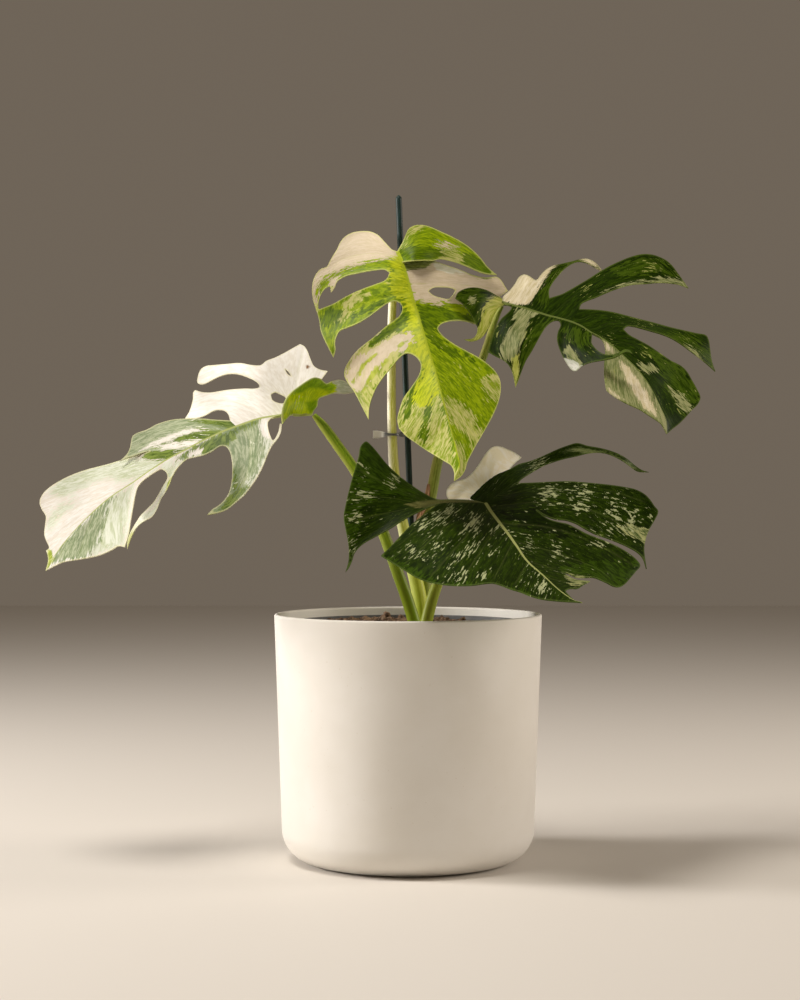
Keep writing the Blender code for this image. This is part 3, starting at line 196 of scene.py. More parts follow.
# %% The top leaf, lime and cream
# In this drawing, the first `deep` area of the `hood` is painted shadow in the fold at its base. On the
# right lobes, `sage` is painted shadow under the hood, and `deep` is partly the lobe's own dark green and
# partly painted shade beside the rib.
TOP_LEAF = """
rib: 397,251,-3 402,262,-7 408,280,-12 412.5,297,-18 418,315,-25 424,335,-35 430,354,-46 436,374,-58
  441,393,-70 446.5,412,-80 452,433,-91 457,452,-101 459.5,465,-107 454,481,-114

patch: left_lobes
edge: rib 454,481 397,251 / 397,251,-3 392,249.5 388,245.5 383,240 378,235 371,231.7 362,231,20
  352,232.7 345,236.5 340,242.5 337,249 333,255.5 329.5,261.5 327,266.5,8 321,268.8 317,272.5 313.7,279
  312,288,-2 312.7,298 315,306.5 317.5,314 319.3,321,-12 320.5,330 324,339 328,347 333.5,357.5,-30 /
  333.5,357.5,-30 335.5,350 335,343 336.5,336 340,330.5 346,328 355,324.5,-20 366,318.5 377,310.5
  386,304 394,301,-18 400,303 402.3,308.5 400,315,-20 392,321.5 382,329.5 373,337.5 364,344.5 356,351.5
  349.5,360 345,368.5,-26 344.3,375.5 348,383 353,390 358,399 363,409 368.5,419.5,-56 / 368.5,419.5,-56
  369,408 372,397 377,386 384,376,-44 392,366.5 399,358 405.5,353.3,-42 412,354 417.5,358
  420.7,364.5,-50 420,372 416,380 409.5,389.5 403.5,398,-58 400,407.5 397.3,420,-66 399,428.5 /
  399,428.5 406,436 415,442.5 425,449.5,-82 435,455.5 444,461 451,465.5 454,472,-108 454,481,-114
holes: 389.5,272.5 385,269.7 376,270 366,271.5 356,273.5 347,275.5 340,279 337.5,280.8 334.5,287.5
  331,292.3 329.8,286 325.5,288.2 321.5,293.5
  318.7,301 318.7,309 325,307 334,303.3 344,297.5 355,292 366,287.5 377,283.5 386,279.5 389.5,272.5
pins: 366,255,6 350,312,-12 372,352,-32 420,425,-78
veins: 455,446 449,458 447,463 / 447,413 437,436 428,451 / 440,388 424,415 410,438 / 434,366 415,392
  400,420 / 419,318 398,328 368,358 362,385 367,415 / 411,292 385,297 345,318 333,352 / 405,270 380,267
  345,272 322,290 318,304 / 399,256 375,253 345,258 328,267 / 397,252 385,245 365,234
deep: 318,318 330,309 345,308 340,318 326,330 / 346,319 358,310 374,302 388,295 384,303 366,314 /
  366,344 384,328 402,314 408,320 396,331 380,342
  370,349 / 330,288 352,276 372,271 352,280 / 402,414 410,392 419,376 416,398 407,422 / 419,438
  424,412 430,392 431,414 426,444
bright: 392,258 398,252 412,290 426,335 442,392 434,396 420,362 404,364 402,340 408,320 404,300 392,296
  389,280 / 412,398 419,378 427,374 436,388 431,405 421,406
cream: 402,250 390,240 370,224 340,228 322,262 306,270 306,300 317,312 316,296 320,282 332,273 350,266
  372,260 396,257 / 341,378 342,352 360,334 380,318 398,308 384,325 366,341 354,356 / 345,376 352,361
  362,352 378,345 394,336 410,333 414,341 399,351 385,360 375,370 367,384 357,391 350,388 / 329,277 340,276
  337,294 328,294
pale: 342,384 356,352 384,336 408,328 416,342 402,354 388,366 374,388 368,428 350,395 /
  342,302 362,291 369,295 352,305 / 336,318 348,309 346,319 338,324 / 395,432 400,408 428,372
  438,391 447,424 453,452 460,485 428,452
lime: 351,382 362,363 378,352 379,354 364,367 354,385 / 361,388 371,372 387,358 389,360 374,376
  364,391 / 396,346 408,338 410,340 399,349
flecks: 425,420,30 345,305,22 395,285,14

patch: hood
edge: rib 397,251 402,262 / 402,262,-7 412,261,-13 424,260.5,-9 434,260.5,-2 440,259 449,260.5
  458,263,10 467,266.5 476,270.5 485,273.7 497,275,30 / 497,275,30 491,270 486,265 482,259.5 477,254
  470.5,248 462,242,22 452,236.5 441,231.5 431,227 423,225,16 415,225.3 409,228.5 405.5,235 402,243
  397,251,-3
pins: 414,252,-9 420,238,2 448,246,8
veins: 398,252 412,232 425,228 / 399,255 418,243 450,250 492,273 / 401,260 420,257 445,258 470,267
deep: 392,256 404,246 425,245 440,250 445,256 425,262 400,266 / 462,250 480,258 500,277 480,276 464,264
pale: 425,220 400,240 395,252 398,250 410,232 424,227 / 438,252 452,250 468,262 450,262
cream: 436,243.6 446,243.5 458,247 446,248.5

patch: right_lobes
edge: rib 402,262 454,481 / 454,481,-114 460.5,477 465,470.5 467.5,462 472,453 477,443.5,-86 /
  477,443.5,-86 483,433.5 489.5,422 495,411,-60 499,400 500.8,390 500,380,-40 495.5,371.5 488,364
  478,357,-30 467,351 456,345 447,339 441,333.5 438,328.5,-28 440.5,324.5 448,321.5 458,320.5 468,321.7
  476,324 485,324,16 / 485,324,16 482,315 486,306 495,300 508,291,38 / 508,291,38 504.5,285.5 501,280
  497,276.8 488,277.5 479,276.7 470,274,20 462,270.5 454,267.5 445,264.5 436,261.5,6 424,258.5
  412,258,-1 402,262,-7
holes: 428.5,291 433,287.7 441,287 450,287.7 455.5,290 453,295 449,298.7 441,297.7 433,295 428.5,291
pins: 470,400,-64 435,274,-2 455,310,-4
veins: 404,266 430,266 465,272 497,279 / 409,284 440,283 475,286 505,290 / 414,302 440,306 470,312
  484,320 / 421,325 450,345 480,372 499,392 / 430,355 455,375 480,400 492,415 / 438,380 458,405 478,435
  / 446,410 460,432 469,455 / 453,437 461,458 462,470
deep: 416,303 432,304 470,315 488,316 488,326 440,322 434,330 450,346 478,362 452,356 432,345 424,330
cream: 404,266 425,258 455,263 475,276 500,276 514,292 482,313 470,311 458,303 430,302 414,300
sage: 401,258 426,258 436,261 426,268 405,271
white: 434,261 452,262 470,273 452,274 436,270
moss: 459,268 470,270 485,275.5 497,277.5 486,279.5 470,275
pale: 441,398 452,398 468,408 482,432 474,448 462,430 446,415 / 482,380 494,374 504,380 500,402 488,398
  / 452,440 462,446 466,470 456,484
flecks: 465,375,38 465,430,30 445,345,20
"""
print("words in the top leaf's drawing:", len(TOP_LEAF.split()))

# %% The right leaf, dark green with pale flaps
RIGHT_LEAF = """
rib: 503,302,25 512,304.5,24 522,307,22 535,311,20 548,315,18 560,318,16 572,321.5,14 582,326,11
  592,332.5,8 600,336.5,5 612,345,1 624,356,-3 636,367.5,-7 649,384.5,-12 661,408,-17 666.5,421,-20
  667,434,-23
first_vein: 548,315,18 549,305,28 549.5,298,36
second_vein: 572,321.5,14 576,315,21 579.5,309,28
third_vein: 600,336.5,5 612,333,13 623.5,329,20

patch: first_arm
edge: rib 503,302 548,315 / first_vein 548,315 549.5,298 / 549.5,298,36 549,291 552,284 558,276,62
  565,268.5 572,263.7 578,261.7 584,262.2,86 590,264.5 597,268.5 603,271.5,94 / 603,271.5,94 598,265
  593,261 587,258.7,90 580,259.2 570,261.7 560,264 552,266,68 546,269.5 541,274.5 536,280,48 530,276.5
  524.5,274.2,54 519,277 515,283.5 510,290,38 503,297,28 503,302,25
pins: 528,292,36
veins: 508,303 519,287 525,276 / 520,306 530,290 546,273 572,262 / 539,312 546,290 560,269 582,261
  600,269
moss: 536,300 550,276 575,260 590,263 566,270 552,290 546,306
cream: 498,302 504,288 520,270 536,275 546,264 562,260 549,272 538,290 528,304 514,305 / 576,256 592,254
  606,274 594,267 584,261
flecks: 560,275,10

patch: second_arm
edge: rib 548,315 572,321.5 / second_vein 572,321.5 579.5,309 / 579.5,309,28 581,304 587,300.5
  595,297.7,44 604,293.7 614,289.7 624,286.3,66 634,284.3 646,283.7 658,282.7,84 668,283 678,284.3
  688.5,288,86 / 688.5,288,86 683.5,281 678.5,274 673,266.5 667,260.7,98 660,257 651,254.3 641,254.2,98
  630,257 620,261 610,265.7 600,271.5,80 589,278.5 579,284.5 570,289.7,54 562,294 555,296.3 549.5,298,36
  / first_vein 549.5,298 548,315
pins: 640,268,88
veins: 551,315 575,294 610,272 650,261 685,284 / 566,319 580,302 610,286 645,278 682,284
pale: 650,284 660,276 684,282 690,290 668,283 / 600,292 632,282 660,279 636,287
moss: 610,270 640,256 660,260 676,276 650,272 625,276
flecks: 590,285,20 650,268,26

patch: third_arm
edge: rib 572,321.5 600,336.5 / third_vein 600,336.5 623.5,329 / 623.5,329,20 627,326 633,326.3
  642,328.5 652,331.3,30 662,334.3 671,338 681,344 691,351.5,42 701,359 709,365.7 715.5,371.5,52 /
  715.5,371.5,52 712,361 710.3,350 709,341 706.5,335.5,60 696,333 683,330 669,326.7 654,322.5,56
  639,318.7 625,315 612,311.8,42 600,310 590,309.3 579.5,309,28 / second_vein 579.5,309 572,321.5
pins: 640,324,40
veins: 574,322 600,313 640,321 680,333 710,352 / 590,331 612,322 650,328 690,346 714,369
moss: 660,334 690,334 712,352 716,372 694,352
pale: 684,345 696,350 706,362 694,356
flecks: 640,325,24 690,350,16

patch: fourth_arm
edge: rib 600,336.5 667,434 / 667,434,-23 672,429.5 679,424 685.5,417.5,-6 692,410 698,404
  700.5,397.5,14 697,389 692,380 687,371.5 681.5,366,28 671,360.5 660,353 649,345.5,24 638,339.5
  629,334.5 623.5,329,20 / third_vein 623.5,329 600,336.5
pins: 668,385,8
veins: 604,339 640,347 675,370 698,395 / 618,350 645,368 670,395 688,412 / 640,371 655,392 672,425
moss: 640,344 676,362 702,394 684,416 672,392 660,370
pale: 638,363 652,364 657,371 648,373 640,369 / 670,386 682,396 692,406 688,414 680,406
flecks: 680,400,18 650,360,20 612,335,14

patch: left_curl
edge: rib 512,304.5 503,302 / 503,302,25 502,298.5 497,295.7,16 490,291.5 482,288.5 473,287.3,2 464,289
  457.5,293 455.3,298.5,-4 / 455.3,298.5,-4 461,302.5 466.5,308 471,315,-4 475,322 478,328 477,334
  473.5,338,-8 464,339.5,-10 / 464,339.5,-10 471,341.5 479,339.5 485,334.5,-2 489.5,327 493,318.5
  497,310.5,14 501.5,306 507,304.8 512,304.5,24
pins: 478,305,0
veins: 508,303 490,294 462,294 / 509,304 487,309 478,330 467,339
moss: 456,296 476,288 490,296 486,315 476,330 466,312
lime: 484,304 500,294 506,302 496,314 489,328 480,342 462,343 476,330 482,316
pale: 470,297 477,296 475,304 468,303 / 488,296 505,294 506,304 496,306
flecks: 474,312,14

patch: three_points
edge: rib 592,332.5 512,304.5 / 512,304.5,24 511,309 507,313.5,12 501,319 496.5,326.5 492.5,336.5,-2
  490,344 488.3,351.8,-12 / 488.3,351.8,-12 495,355.7 502.5,359.5 508,364 512,371 514,378 515.5,387,-26
  / 515.5,387,-26 519,379 522,370.5 526,361 531.5,352,-10 537,342 542,333 547,325.5 553,321,12 559,320.7
  560.8,324.5 558,331.5,6 557,338 558.5,346 562,355 567,364,-16 572,370 576,370.8,-22 580,367 587,363.5
  596,361.3 604,360,-26 612,358.3 618,355.8 623,352.8 627.5,351.7 632.5,353.5,-38 / 632.5,353.5,-38
  629.5,350 625,349.3 619.5,352 613,354.3,-28 606,354.5 600,352 595,347.7 591.5,342.5,-8 592,337
  592,332.5,8
pins: 506,338,-4 522,345,-12 578,348,-12
veins: 586,329 592,348 610,356 630,352 / 571,321 563,340 566,356 575,370 / 546,315 530,335 521,360
  516,385 / 531,310 514,332 511,355 514,378 / 518,306 500,324 491,349
moss: 524,340 536,325 550,316 556,324 540,342 528,362 518,372 / 560,330 572,328 590,336 592,346 575,345
pale: 515,308 533,309 543,312 530,317 526,330 519,350 514,362 502,359 500,350 506,338 514,322 / 562,352
  568,344 580,356 584,366 574,368
lime: 512,358 519,354 519,384 514,388
white: 562,357 568,359 577,363 583,367 577,376 564,366
flecks: 495,330,16 570,340,14 530,335,16 590,345,14

patch: pale_flap
edge: rib 667,434 600,336.5 / 600,336.5,5 603.3,341.5 605.3,348 605,356,-6 604.3,365 604.3,375 605.2,383
  606.5,390,-30 / 606.5,390,-30 613,395.5 621,400.5 630,405,-36 640,409.5 649,415.3 656,419.7
  661.5,424,-30 664.5,429 667,434,-23
pins: 625,385,-22
veins: 652,390 652,405 656,419 / 634,365 634,386 640,409 / 618,350 618,376 622,401 / 604,340 606,365
  607,390
pale: 596,333 612,343 642,370 662,405 672,440 640,420 600,396 600,360
cream: 619,360 632,371 647,392 658,417 646,409 635,395 626,380 / 602,382 612,391 624,400 612,397 /
  603,340 611,346 613,353 606,350
moss: 621,383 625,387 629,405 618,401
flecks: 612,372,14
"""
print("words in the right leaf's drawing:", len(RIGHT_LEAF.split()))

# %% The front leaf, dark green with a white curl
FRONT_LEAF = """
rib: 486,503,-32 491,511,-43 497,519,-56 504,528,-71 511,537.5,-86 518,547.5,-102 525,558,-117
  531,564.5,-128 538,570.5,-139 547,578.5,-153 557,588,-168 566,595,-180 574,600,-189 582,602,-195
neck: 486,503,-32 470,502.3,-33 455,502.3,-35 445,502.7,-38 438,504,-41
white_fold: 486,503,-32 477,501,-27 470,498.5,-21 478,489.5,-13 486,482,-6 494,476,0 502,472,5 510,469,9
second_vein: 486,503,-32 497,496,-22 508,489.5,-12 518,483,-4

patch: left_point
edge: neck 486,503 438,504 / 438,504,-41 430,506.5 420,511 410,516,-54 400,522 391,528 382,533,-62
  374,537.5 366,542 359,547.5 354.5,553.5,-72 352,561 349.5,566.5 345.5,572,-80 / 345.5,572,-80
  348.3,562 349,552 348.3,542,-70 346,530 344,516,-64 346,504 349.5,489 353,476,-46 356.5,465 359.3,455
  361,446,-28 366,441.3,-20 371,445 378,453 386,463,-20 395,472 404,479.5 413,486,-18 423,492.5
  432,497.3 438,499.3,-18 450,499.2 464,499.5,-24 476,500.7 486,503,-32
pins: 375,495,-46 362,520,-60 415,501,-36
veins: 484,501 440,499 405,481 366,444 / 478,502 430,501 395,487 355,468 / 472,502 425,503 385,497
  346,497 / 462,502 420,506 385,513 345,522 / 452,502 415,511 380,528 350,548 / 444,503 410,517 372,540
  347,570
moss: 340,520 345,480 362,436 384,456 420,490 406,496 380,492 362,510 356,540 346,580
brown: 404,504 420,501 440,499 488,501 488,505 440,505 418,508
flecks: 366,495,10 358,497,9 356,519,11 363,473,9 350,537,7 395,480,10 350,551,8

patch: front_half
edge: rib 582,602 486,503 / neck 486,503 438,504 / 438,504,-41 430,509.5 421,516.5 411,525 401,535,-72
  392,545 381,555.5,-94 / 381,555.5,-94 389,560.5 398,566 407,571.5 416,577,-124 426,581 437,583.5
  449,585 462,585.5,-150 474,585 484,583.5 493,583,-160 502,585.5 511,589 521,592 531,596,-178 542,599
  554,600.5 567,601.5 582,602,-195
pins: 450,540,-94 490,560,-122
veins: 566,595 563,598 560,601 / 545,577 541,588 538,598 / 528,561 520,575 512,588 / 513,541 502,563
  491,583 / 500,522 479,553 457,585 / 489,507 462,540 426,581 / 470,503 438,532 401,567
  / 448,504 425,523 392,550
moss: 381,553 398,560 440,582 470,584 440,590 390,570 / 490,584 520,590 545,600 510,592
flecks: 424,525,12 438,521,11 451,511,11 473,523,15 436,543,11 428,557,8 413,550,8 460,556,10
  471,550,10 456,576,13 465,570,8 494,550,9 502,530,11 536,568,10 541,589,12 483,576,8

patch: white_curl
edge: white_fold 486,503 510,469 / 510,469,9 513,465 517,461.2 521.5,457.5,16 / 521.5,457.5,16 516,453.3
  508,449.5 498,446,19 491.5,447.5 486.5,452.5 482,459 477.5,466,16 472,473 465,478.5 457,481,13
  450.5,484.5 447,489.5 446.7,496,9 450,501 460,503.3,-6 474,503.7,-22 486,503,-32
pins: 488,470,3 468,490,-7
veins: 484,501 465,491 450,490 / 487,500 490,472 500,450 518,457
cream: 430,508 432,476 490,438 530,456 512,470 492,486 484,506

patch: back_arm
edge: second_vein 486,503 518,483 / 518,483,-4 521,479.3 528,474.5 536,469.7,6 545,465 555,461.5
  566,458.3,18 577,456 588,453.2 598,452.2,28 607,453.5 616,457 625,462.3 632,467.5,40 638,471.3
  649,472,46 / 649,472,46 642,470 635,465.3 627,458.7,40 619,454 609,450.2 598,447.5,34 588,445.8
  577,443,26 568,445.3 558,449 547,454,18 537,458.5 528,461.7 519,464 510,469,9 / white_fold 510,469
  486,503
veins: 489,499 506,478 545,459 577,447 640,470 / 492,499 518,479 560,459 602,451
sage: 486,505 506,491 524,478 534,470 530,484 508,500 / 562,451 578,447 600,451 618,458
  645,472 618,464 598,456
  578,452
flecks: 540,465,12

patch: right_half
edge: second_vein 518,483 486,503 / rib 486,503 574,600 / 574,600,-189 569.5,595.5 565.5,590.5,-172
  571,588.3 578,588.3 583.5,584.5 590,581,-122 / 590,581,-122 582,580.3 575,579.2 568.5,576
  562,571.8,-126 / 562,571.8,-126 569,573.7 576,577 585,577.3,-112 593.5,577.3 601,580 608,583.3,-104
  614,586.3 620,586.7,-98 625,584 630.5,578 636,571.5 640.5,565.8,-60 637,560 630,554 621,548.3,-54
  610,543 598,538 587,533.7,-52 577,528.5 568,524 558,521.8 548,518.5,-49 536.5,510,-46 / 536.5,510,-46
  545,515.5 555,519 566,520.2,-47 576,523.5 586,529.3 596,534.3 607,538,-47 618,542.3 629,547.3
  638,552.7,-47 643.3,558.5 646.8,569,-50 / 646.8,569,-50 645,557 644.3,548 646,538,-28 649.5,529
  654.5,520.5 658.3,511,-8 654.5,506 650.5,500 645,494.3,4 636,489.5 625,487 612,485,10 598,483.5
  584,482.2 568,481.2,10 550,481.7 534,482.5,4 518,483,-4
pins: 560,500,-22 600,560,-84 540,540,-82
veins: 497,497 540,487 600,488 650,503 / 490,506 540,502 600,513 644,540 / 500,523 550,527 600,545
  636,566 / 513,540 555,552 600,570 618,584 / 528,561 555,568 580,574 / 545,577 565,581 585,582 /
  560,590 568,591
moss: 560,566 600,560 640,562 625,590 600,584 565,574
pale: 618,527 632,524 652,530 650,546 634,538 / 566,573 590,579 590,583 572,586
deep: 500,512 540,506 580,530 560,536 520,526
flecks: 550,493,16 580,497,20 615,506,18 632,520,14 612,522,14 528,545,13 560,552,12 600,536,12
  505,535,8
"""
print("words in the front leaf's drawing:", len(FRONT_LEAF.split()))

# %% Read the drawings
def drawing_in(text):
    """The shared lines and the patches of a drawing, each entry as a list of runs of words."""
    lines, patches = {}, []
    entries = lines
    for word in text.split():
        if word == "patch:":
            entries = {}
            patches.append(entries)
        if word.endswith(":"):
            runs = entries.setdefault(word[:-1], [[]])
        elif word == "/":
            runs.append([])
        else:
            runs[-1].append(word)
    return lines, patches


DRAWINGS = {
    "leaf_left": drawing_in(LEFT_LEAF),
    "leaf_top": drawing_in(TOP_LEAF),
    "leaf_right": drawing_in(RIGHT_LEAF),
    "leaf_front": drawing_in(FRONT_LEAF),
}
print("patches:", {name: len(patches) for name, (_, patches) in DRAWINGS.items()})

# %% [markdown]
# ## Curves, surfaces and distances
#
# A living leaf has no straight edge and no flat face. Its edge is a smooth curve through the drawn
# points. For its face, each point could be placed by hand, but that shows every small mistake as a
# dent. A thin plate bent through a few pinned depths gives the smoothest face that meets them all.
# The same plate spreads the numbers of the veins over the patch, so that streaks and relief can
# follow them.

# %% Smooth lines
EDGE_STEP_PX = 2.4
GRID_STEP_PX = 2.6
TINY = 1e-12


def smooth_line(points, step):
    """Points about one step apart on a smooth curve through the given ones, which all stay on it."""
    given = np.array(points, float)
    lengths = np.linalg.norm(np.diff(given[:, :2], axis=0), axis=1)
    slopes = np.diff(given, axis=0) / lengths[:, None]
    tangents = np.vstack([slopes[:1], (slopes[1:] + slopes[:-1]) / 2, slopes[-1:]])
    line = [given[0]]
    for i, length in enumerate(lengths):
        pieces = max(1, round(length / step))
        for t in np.arange(1, pieces + 1) / pieces:
            line.append(
                given[i] * (2 * t**3 - 3 * t**2 + 1)
                + given[i + 1] * (3 * t**2 - 2 * t**3)
                + tangents[i] * length * (t**3 - 2 * t**2 + t)
                + tangents[i + 1] * length * (t**3 - t**2)
            )
    return np.array(line)


def section(line, start, end):
    """The stretch of a shared line between two of its points, in the order asked for."""
    first = int(np.argmin(np.linalg.norm(line[:, :2] - start, axis=1)))
    last = int(np.argmin(np.linalg.norm(line[:, :2] - end, axis=1)))
    return line[first:last + 1] if first <= last else line[last:first + 1][::-1]


print("edge points are", EDGE_STEP_PX, "pixels apart")

# %% Inside, outside and how far
def inside(points, loop):
    """Which of the points lie inside a closed loop."""
    x, y = points[:, :1], points[:, 1:2]
    x1, y1 = loop[:, 0], loop[:, 1]
    x2, y2 = np.roll(x1, -1), np.roll(y1, -1)
    spans = (y1 > y) != (y2 > y)
    with np.errstate(divide="ignore", invalid="ignore"):
        crossing = (x2 - x1) * (y - y1) / (y2 - y1) + x1
    return (spans & (x < crossing)).sum(axis=1) % 2 == 1


def distance_to(points, line):
    """Distance from each point to the nearest side of an open line."""
    nearest = np.full(len(points), np.inf)
    for start, end in zip(line[:-1], line[1:]):
        side = end - start
        share = np.clip((points - start) @ side / max(side @ side, TINY), 0, 1)
        nearest = np.minimum(nearest, np.linalg.norm(points - start - share[:, None] * side, axis=1))
    return nearest


def closed(loop):
    """The loop with its first point once more at the end."""
    return np.vstack([loop, loop[:1]])


square = np.array([(0, 0), (1, 0), (1, 1), (0, 1)], float)
print("the middle of a square is inside it:", bool(inside(np.array([(0.5, 0.5)]), square)[0]))

# %% The bent plate
PLATE_UNIT_PX = 100.0


def bend(pins, places):
    """The value at each place on the thin plate that bends through every pin (x, y, value)."""
    pins = np.array(pins, float)
    knots = pins[:, :2] / PLATE_UNIT_PX
    places = places / PLATE_UNIT_PX

    def kernel(a, b):
        """How much each point of b bends the plate at each point of a."""
        squared = ((a[:, None] - b) ** 2).sum(axis=2)
        return squared * np.log(squared + TINY)

    count = len(knots)
    flat = np.hstack([np.ones((count, 1)), knots])
    system = np.zeros((count + 3, count + 3))
    system[:count, :count] = kernel(knots, knots)
    system[:count, count:] = flat
    system[count:, :count] = flat.T
    weights = np.linalg.lstsq(system, np.append(pins[:, 2], [0, 0, 0]), rcond=None)[0]
    return kernel(places, knots) @ weights[:count] + weights[count] + places @ weights[count + 1:]


print("the plate reckons in units of", PLATE_UNIT_PX, "pixels")

# %% [markdown]
# ## One patch of a blade
#
# On the plant a lobe between two slits bends by itself, so a blade is made of patches that meet
# along shared lines. A patch could be a grid of squares cut to shape, but its edge would be ragged.
# It is filled with small triangles instead, which meet the drawn edge exactly. Each point gets its
# place and the numbers that its material reads: which vein it is near, how far out it lies, how
# deep it is inside each tone.

# %% Fill an outline with triangles
EDGE_CLEARANCE = 0.5
SAME_POINT_PX = 1e-5


def triangulated(outline, holes):
    """(flat points, triangles) that fill an outline less its holes."""
    low, high = outline.min(axis=0), outline.max(axis=0)
    row_step = GRID_STEP_PX * math.sqrt(3) / 2
    grid = np.array([
        (x + (GRID_STEP_PX / 2 if row % 2 else 0), low[1] + row * row_step)
        for row in range(int((high[1] - low[1]) / row_step) + 1)
        for x in np.arange(low[0], high[0], GRID_STEP_PX)
    ])
    grid = grid[inside(grid, outline)]
    for hole in holes:
        grid = grid[~inside(grid, hole)]
    for loop in [outline, *holes]:
        grid = grid[distance_to(grid, closed(loop)) > GRID_STEP_PX * EDGE_CLEARANCE]
    places, sides = [], []
    for loop in [outline, *holes]:
        first = len(places)
        places += [tuple(point) for point in loop]
        sides += [(first + i, first + (i + 1) % len(loop)) for i in range(len(loop))]
    places += [tuple(point) for point in grid]
    made = delaunay_2d_cdt([Vector(place) for place in places], sides, [], 0, SAME_POINT_PX)
    flat = np.array([tuple(vertex) for vertex in made[0]])
    triangles = np.array(made[2])
    centres = flat[triangles].mean(axis=1)
    kept = inside(centres, outline)
    for hole in holes:
        kept &= ~inside(centres, hole)
    return flat, triangles[kept]


print("points inside a patch are", GRID_STEP_PX, "pixels apart")

# %% Veins and tones as numbers
VEIN_STEP_PX = 8
FAR_OUTSIDE = -40.0
TONE_NAMES = ["cream", "white", "sage", "pale", "bright", "lime", "deep", "moss", "brown"]


def vein_numbers(veins, rib_run, flat):
    """(number of the nearest vein, pixels outwards from the rib) at each flat point."""
    across, outward = [], []
    for index, vein in enumerate(veins):
        line = smooth_line(vein, VEIN_STEP_PX)
        steps = np.linalg.norm(np.diff(line, axis=0), axis=1)
        lengths = np.concatenate([[0], np.cumsum(steps)])
        across += [(x, y, index) for x, y in line[1:]]
        outward += [(x, y, length) for (x, y), length in zip(line[1:], lengths[1:])]
    outward += [(x, y, 0) for x, y in rib_run]
    return bend(across, flat), bend(outward, flat)


def tone_depth(polygons, flat):
    """How many pixels deep each flat point lies inside the nearest of the polygons."""
    depth = np.full(len(flat), FAR_OUTSIDE)
    for words in polygons:
        loop = np.array(points_in(words))
        away = distance_to(flat, closed(loop))
        depth = np.maximum(depth, np.where(inside(flat, loop), away, -away))
    return depth


def fleck_share(patch, flat):
    """How thick pale flecks lie at each flat point, from 0 to 1."""
    share = np.zeros(len(flat))
    for x, y, radius in points_in(patch.get("flecks", [[]])[0]):
        share = np.maximum(share, np.exp(-((flat - (x, y)) ** 2).sum(axis=1) / radius**2))
    return share


def patch_numbers(patch, flat, rib_run, borders):
    """Each number that the blade's relief or its material reads, at each flat point."""
    veins = [points_in(vein) for vein in patch["veins"]]
    across, outward = vein_numbers(veins, rib_run, flat)
    margin = np.min([distance_to(flat, line) for line in borders], axis=0)
    numbers = {"across": across, "outward": outward, "margin": margin}
    for name in TONE_NAMES:
        numbers["tone_" + name] = tone_depth(patch.get(name, []), flat)
    numbers["flecks"] = fleck_share(patch, flat)
    numbers["folded"] = np.full(len(flat), float("folded" in patch))
    return numbers


print("tones that a drawing may use:", TONE_NAMES)

# %% The whole patch
ON_LINE_PX = 1e-3
PIN_EVERY = 3
RIB_POINT_EVERY = 4


def edge_of(patch, lines):
    """A patch's outline, its free runs, what it shares with the rib, and its pinned depths."""
    outline, free, rib_run = [], [], []
    pins = points_in(patch.get("pins", [[]])[0])
    for name, *words in patch["edge"]:
        if name in lines:
            run = section(lines[name], *points_in(words))
            pins += [tuple(point) for point in run[::PIN_EVERY]] + [tuple(run[-1])]
            if name in ("rib", "neck"):
                rib_run += [tuple(point[:2]) for point in run[::RIB_POINT_EVERY]]
        else:
            points = points_in([name, *words])
            run = smooth_line([point[:2] for point in points], EDGE_STEP_PX)
            pins += [point for point in points if len(point) == 3]
            free.append(run)
        outline += [tuple(point[:2]) for point in run[:-1]]
    pins = list({(round(x, 3), round(y, 3)): (x, y, depth) for x, y, depth in pins}.values())
    return np.array(outline), free, rib_run, pins


def turned_to_view(triangles, flat, folded):
    """The triangles with their fronts to the viewer, or away where the patch is folded over."""
    a, b, c = (flat[triangles[:, i]] for i in range(3))
    turn = (b[:, 0] - a[:, 0]) * (c[:, 1] - a[:, 1]) - (b[:, 1] - a[:, 1]) * (c[:, 0] - a[:, 0])
    wrong = (turn > 0) != folded
    triangles[wrong] = triangles[wrong][:, ::-1]
    return triangles


def depths_at(flat, pins, lines):
    """The depth at each flat point, which on a shared line is the line's own."""
    depths = bend(pins, flat)
    for line in lines.values():
        near = distance_to(flat, line[:, :2]) < ON_LINE_PX
        if near.any():
            nearest = np.argmin(((flat[near][:, None] - line[:, :2]) ** 2).sum(axis=2), axis=1)
            depths[near] = line[nearest, 2]
    return depths


def patch_surface(patch, lines):
    """One patch: its places, its triangles and the numbers at each of its points."""
    outline, free, rib_run, pins = edge_of(patch, lines)
    holes = [smooth_line(points_in(hole), EDGE_STEP_PX)[:-1] for hole in patch.get("holes", [])]
    flat, triangles = triangulated(outline, holes)
    triangles = turned_to_view(triangles, flat, "folded" in patch)
    depths = depths_at(flat, pins, lines)
    numbers = patch_numbers(patch, flat, rib_run, free + [closed(hole) for hole in holes])
    places = np.array([at(x, y, depth) for (x, y), depth in zip(flat, depths)])
    return places, triangles, numbers


print("every", PIN_EVERY, "points of a shared line pin a patch to it")

# %% [markdown]
# ## One whole blade
#
# A blade is firm and a little leathery. Its midrib lies in a groove above and stands out as a ridge
# below, and the skin swells between the sunk veins. A bump in the material would leave the blade's
# outline flat, so this relief is in the mesh: the patches are joined along the lines they share,
# and each point is moved along its normal. A second skin underneath and a wall round the rim then
# close the sheet.

# %% Join the patches
def joined(surfaces):
    """Places, triangles and corner numbers of all patches as one surface."""
    index_of, places, triangles = {}, [], []
    corner_numbers = {name: [] for name in surfaces[0][2]}
    for patch_places, patch_triangles, numbers in surfaces:
        indices = []
        for place in patch_places:
            key = tuple(np.round(place, 6))
            if key not in index_of:
                index_of[key] = len(places)
                places.append(place)
            indices.append(index_of[key])
        triangles.append(np.array(indices)[patch_triangles])
        for name, values in numbers.items():
            corner_numbers[name].append(values[patch_triangles].reshape(-1))
    corners = {name: np.concatenate(values) for name, values in corner_numbers.items()}
    return np.array(places), np.vstack(triangles), corners


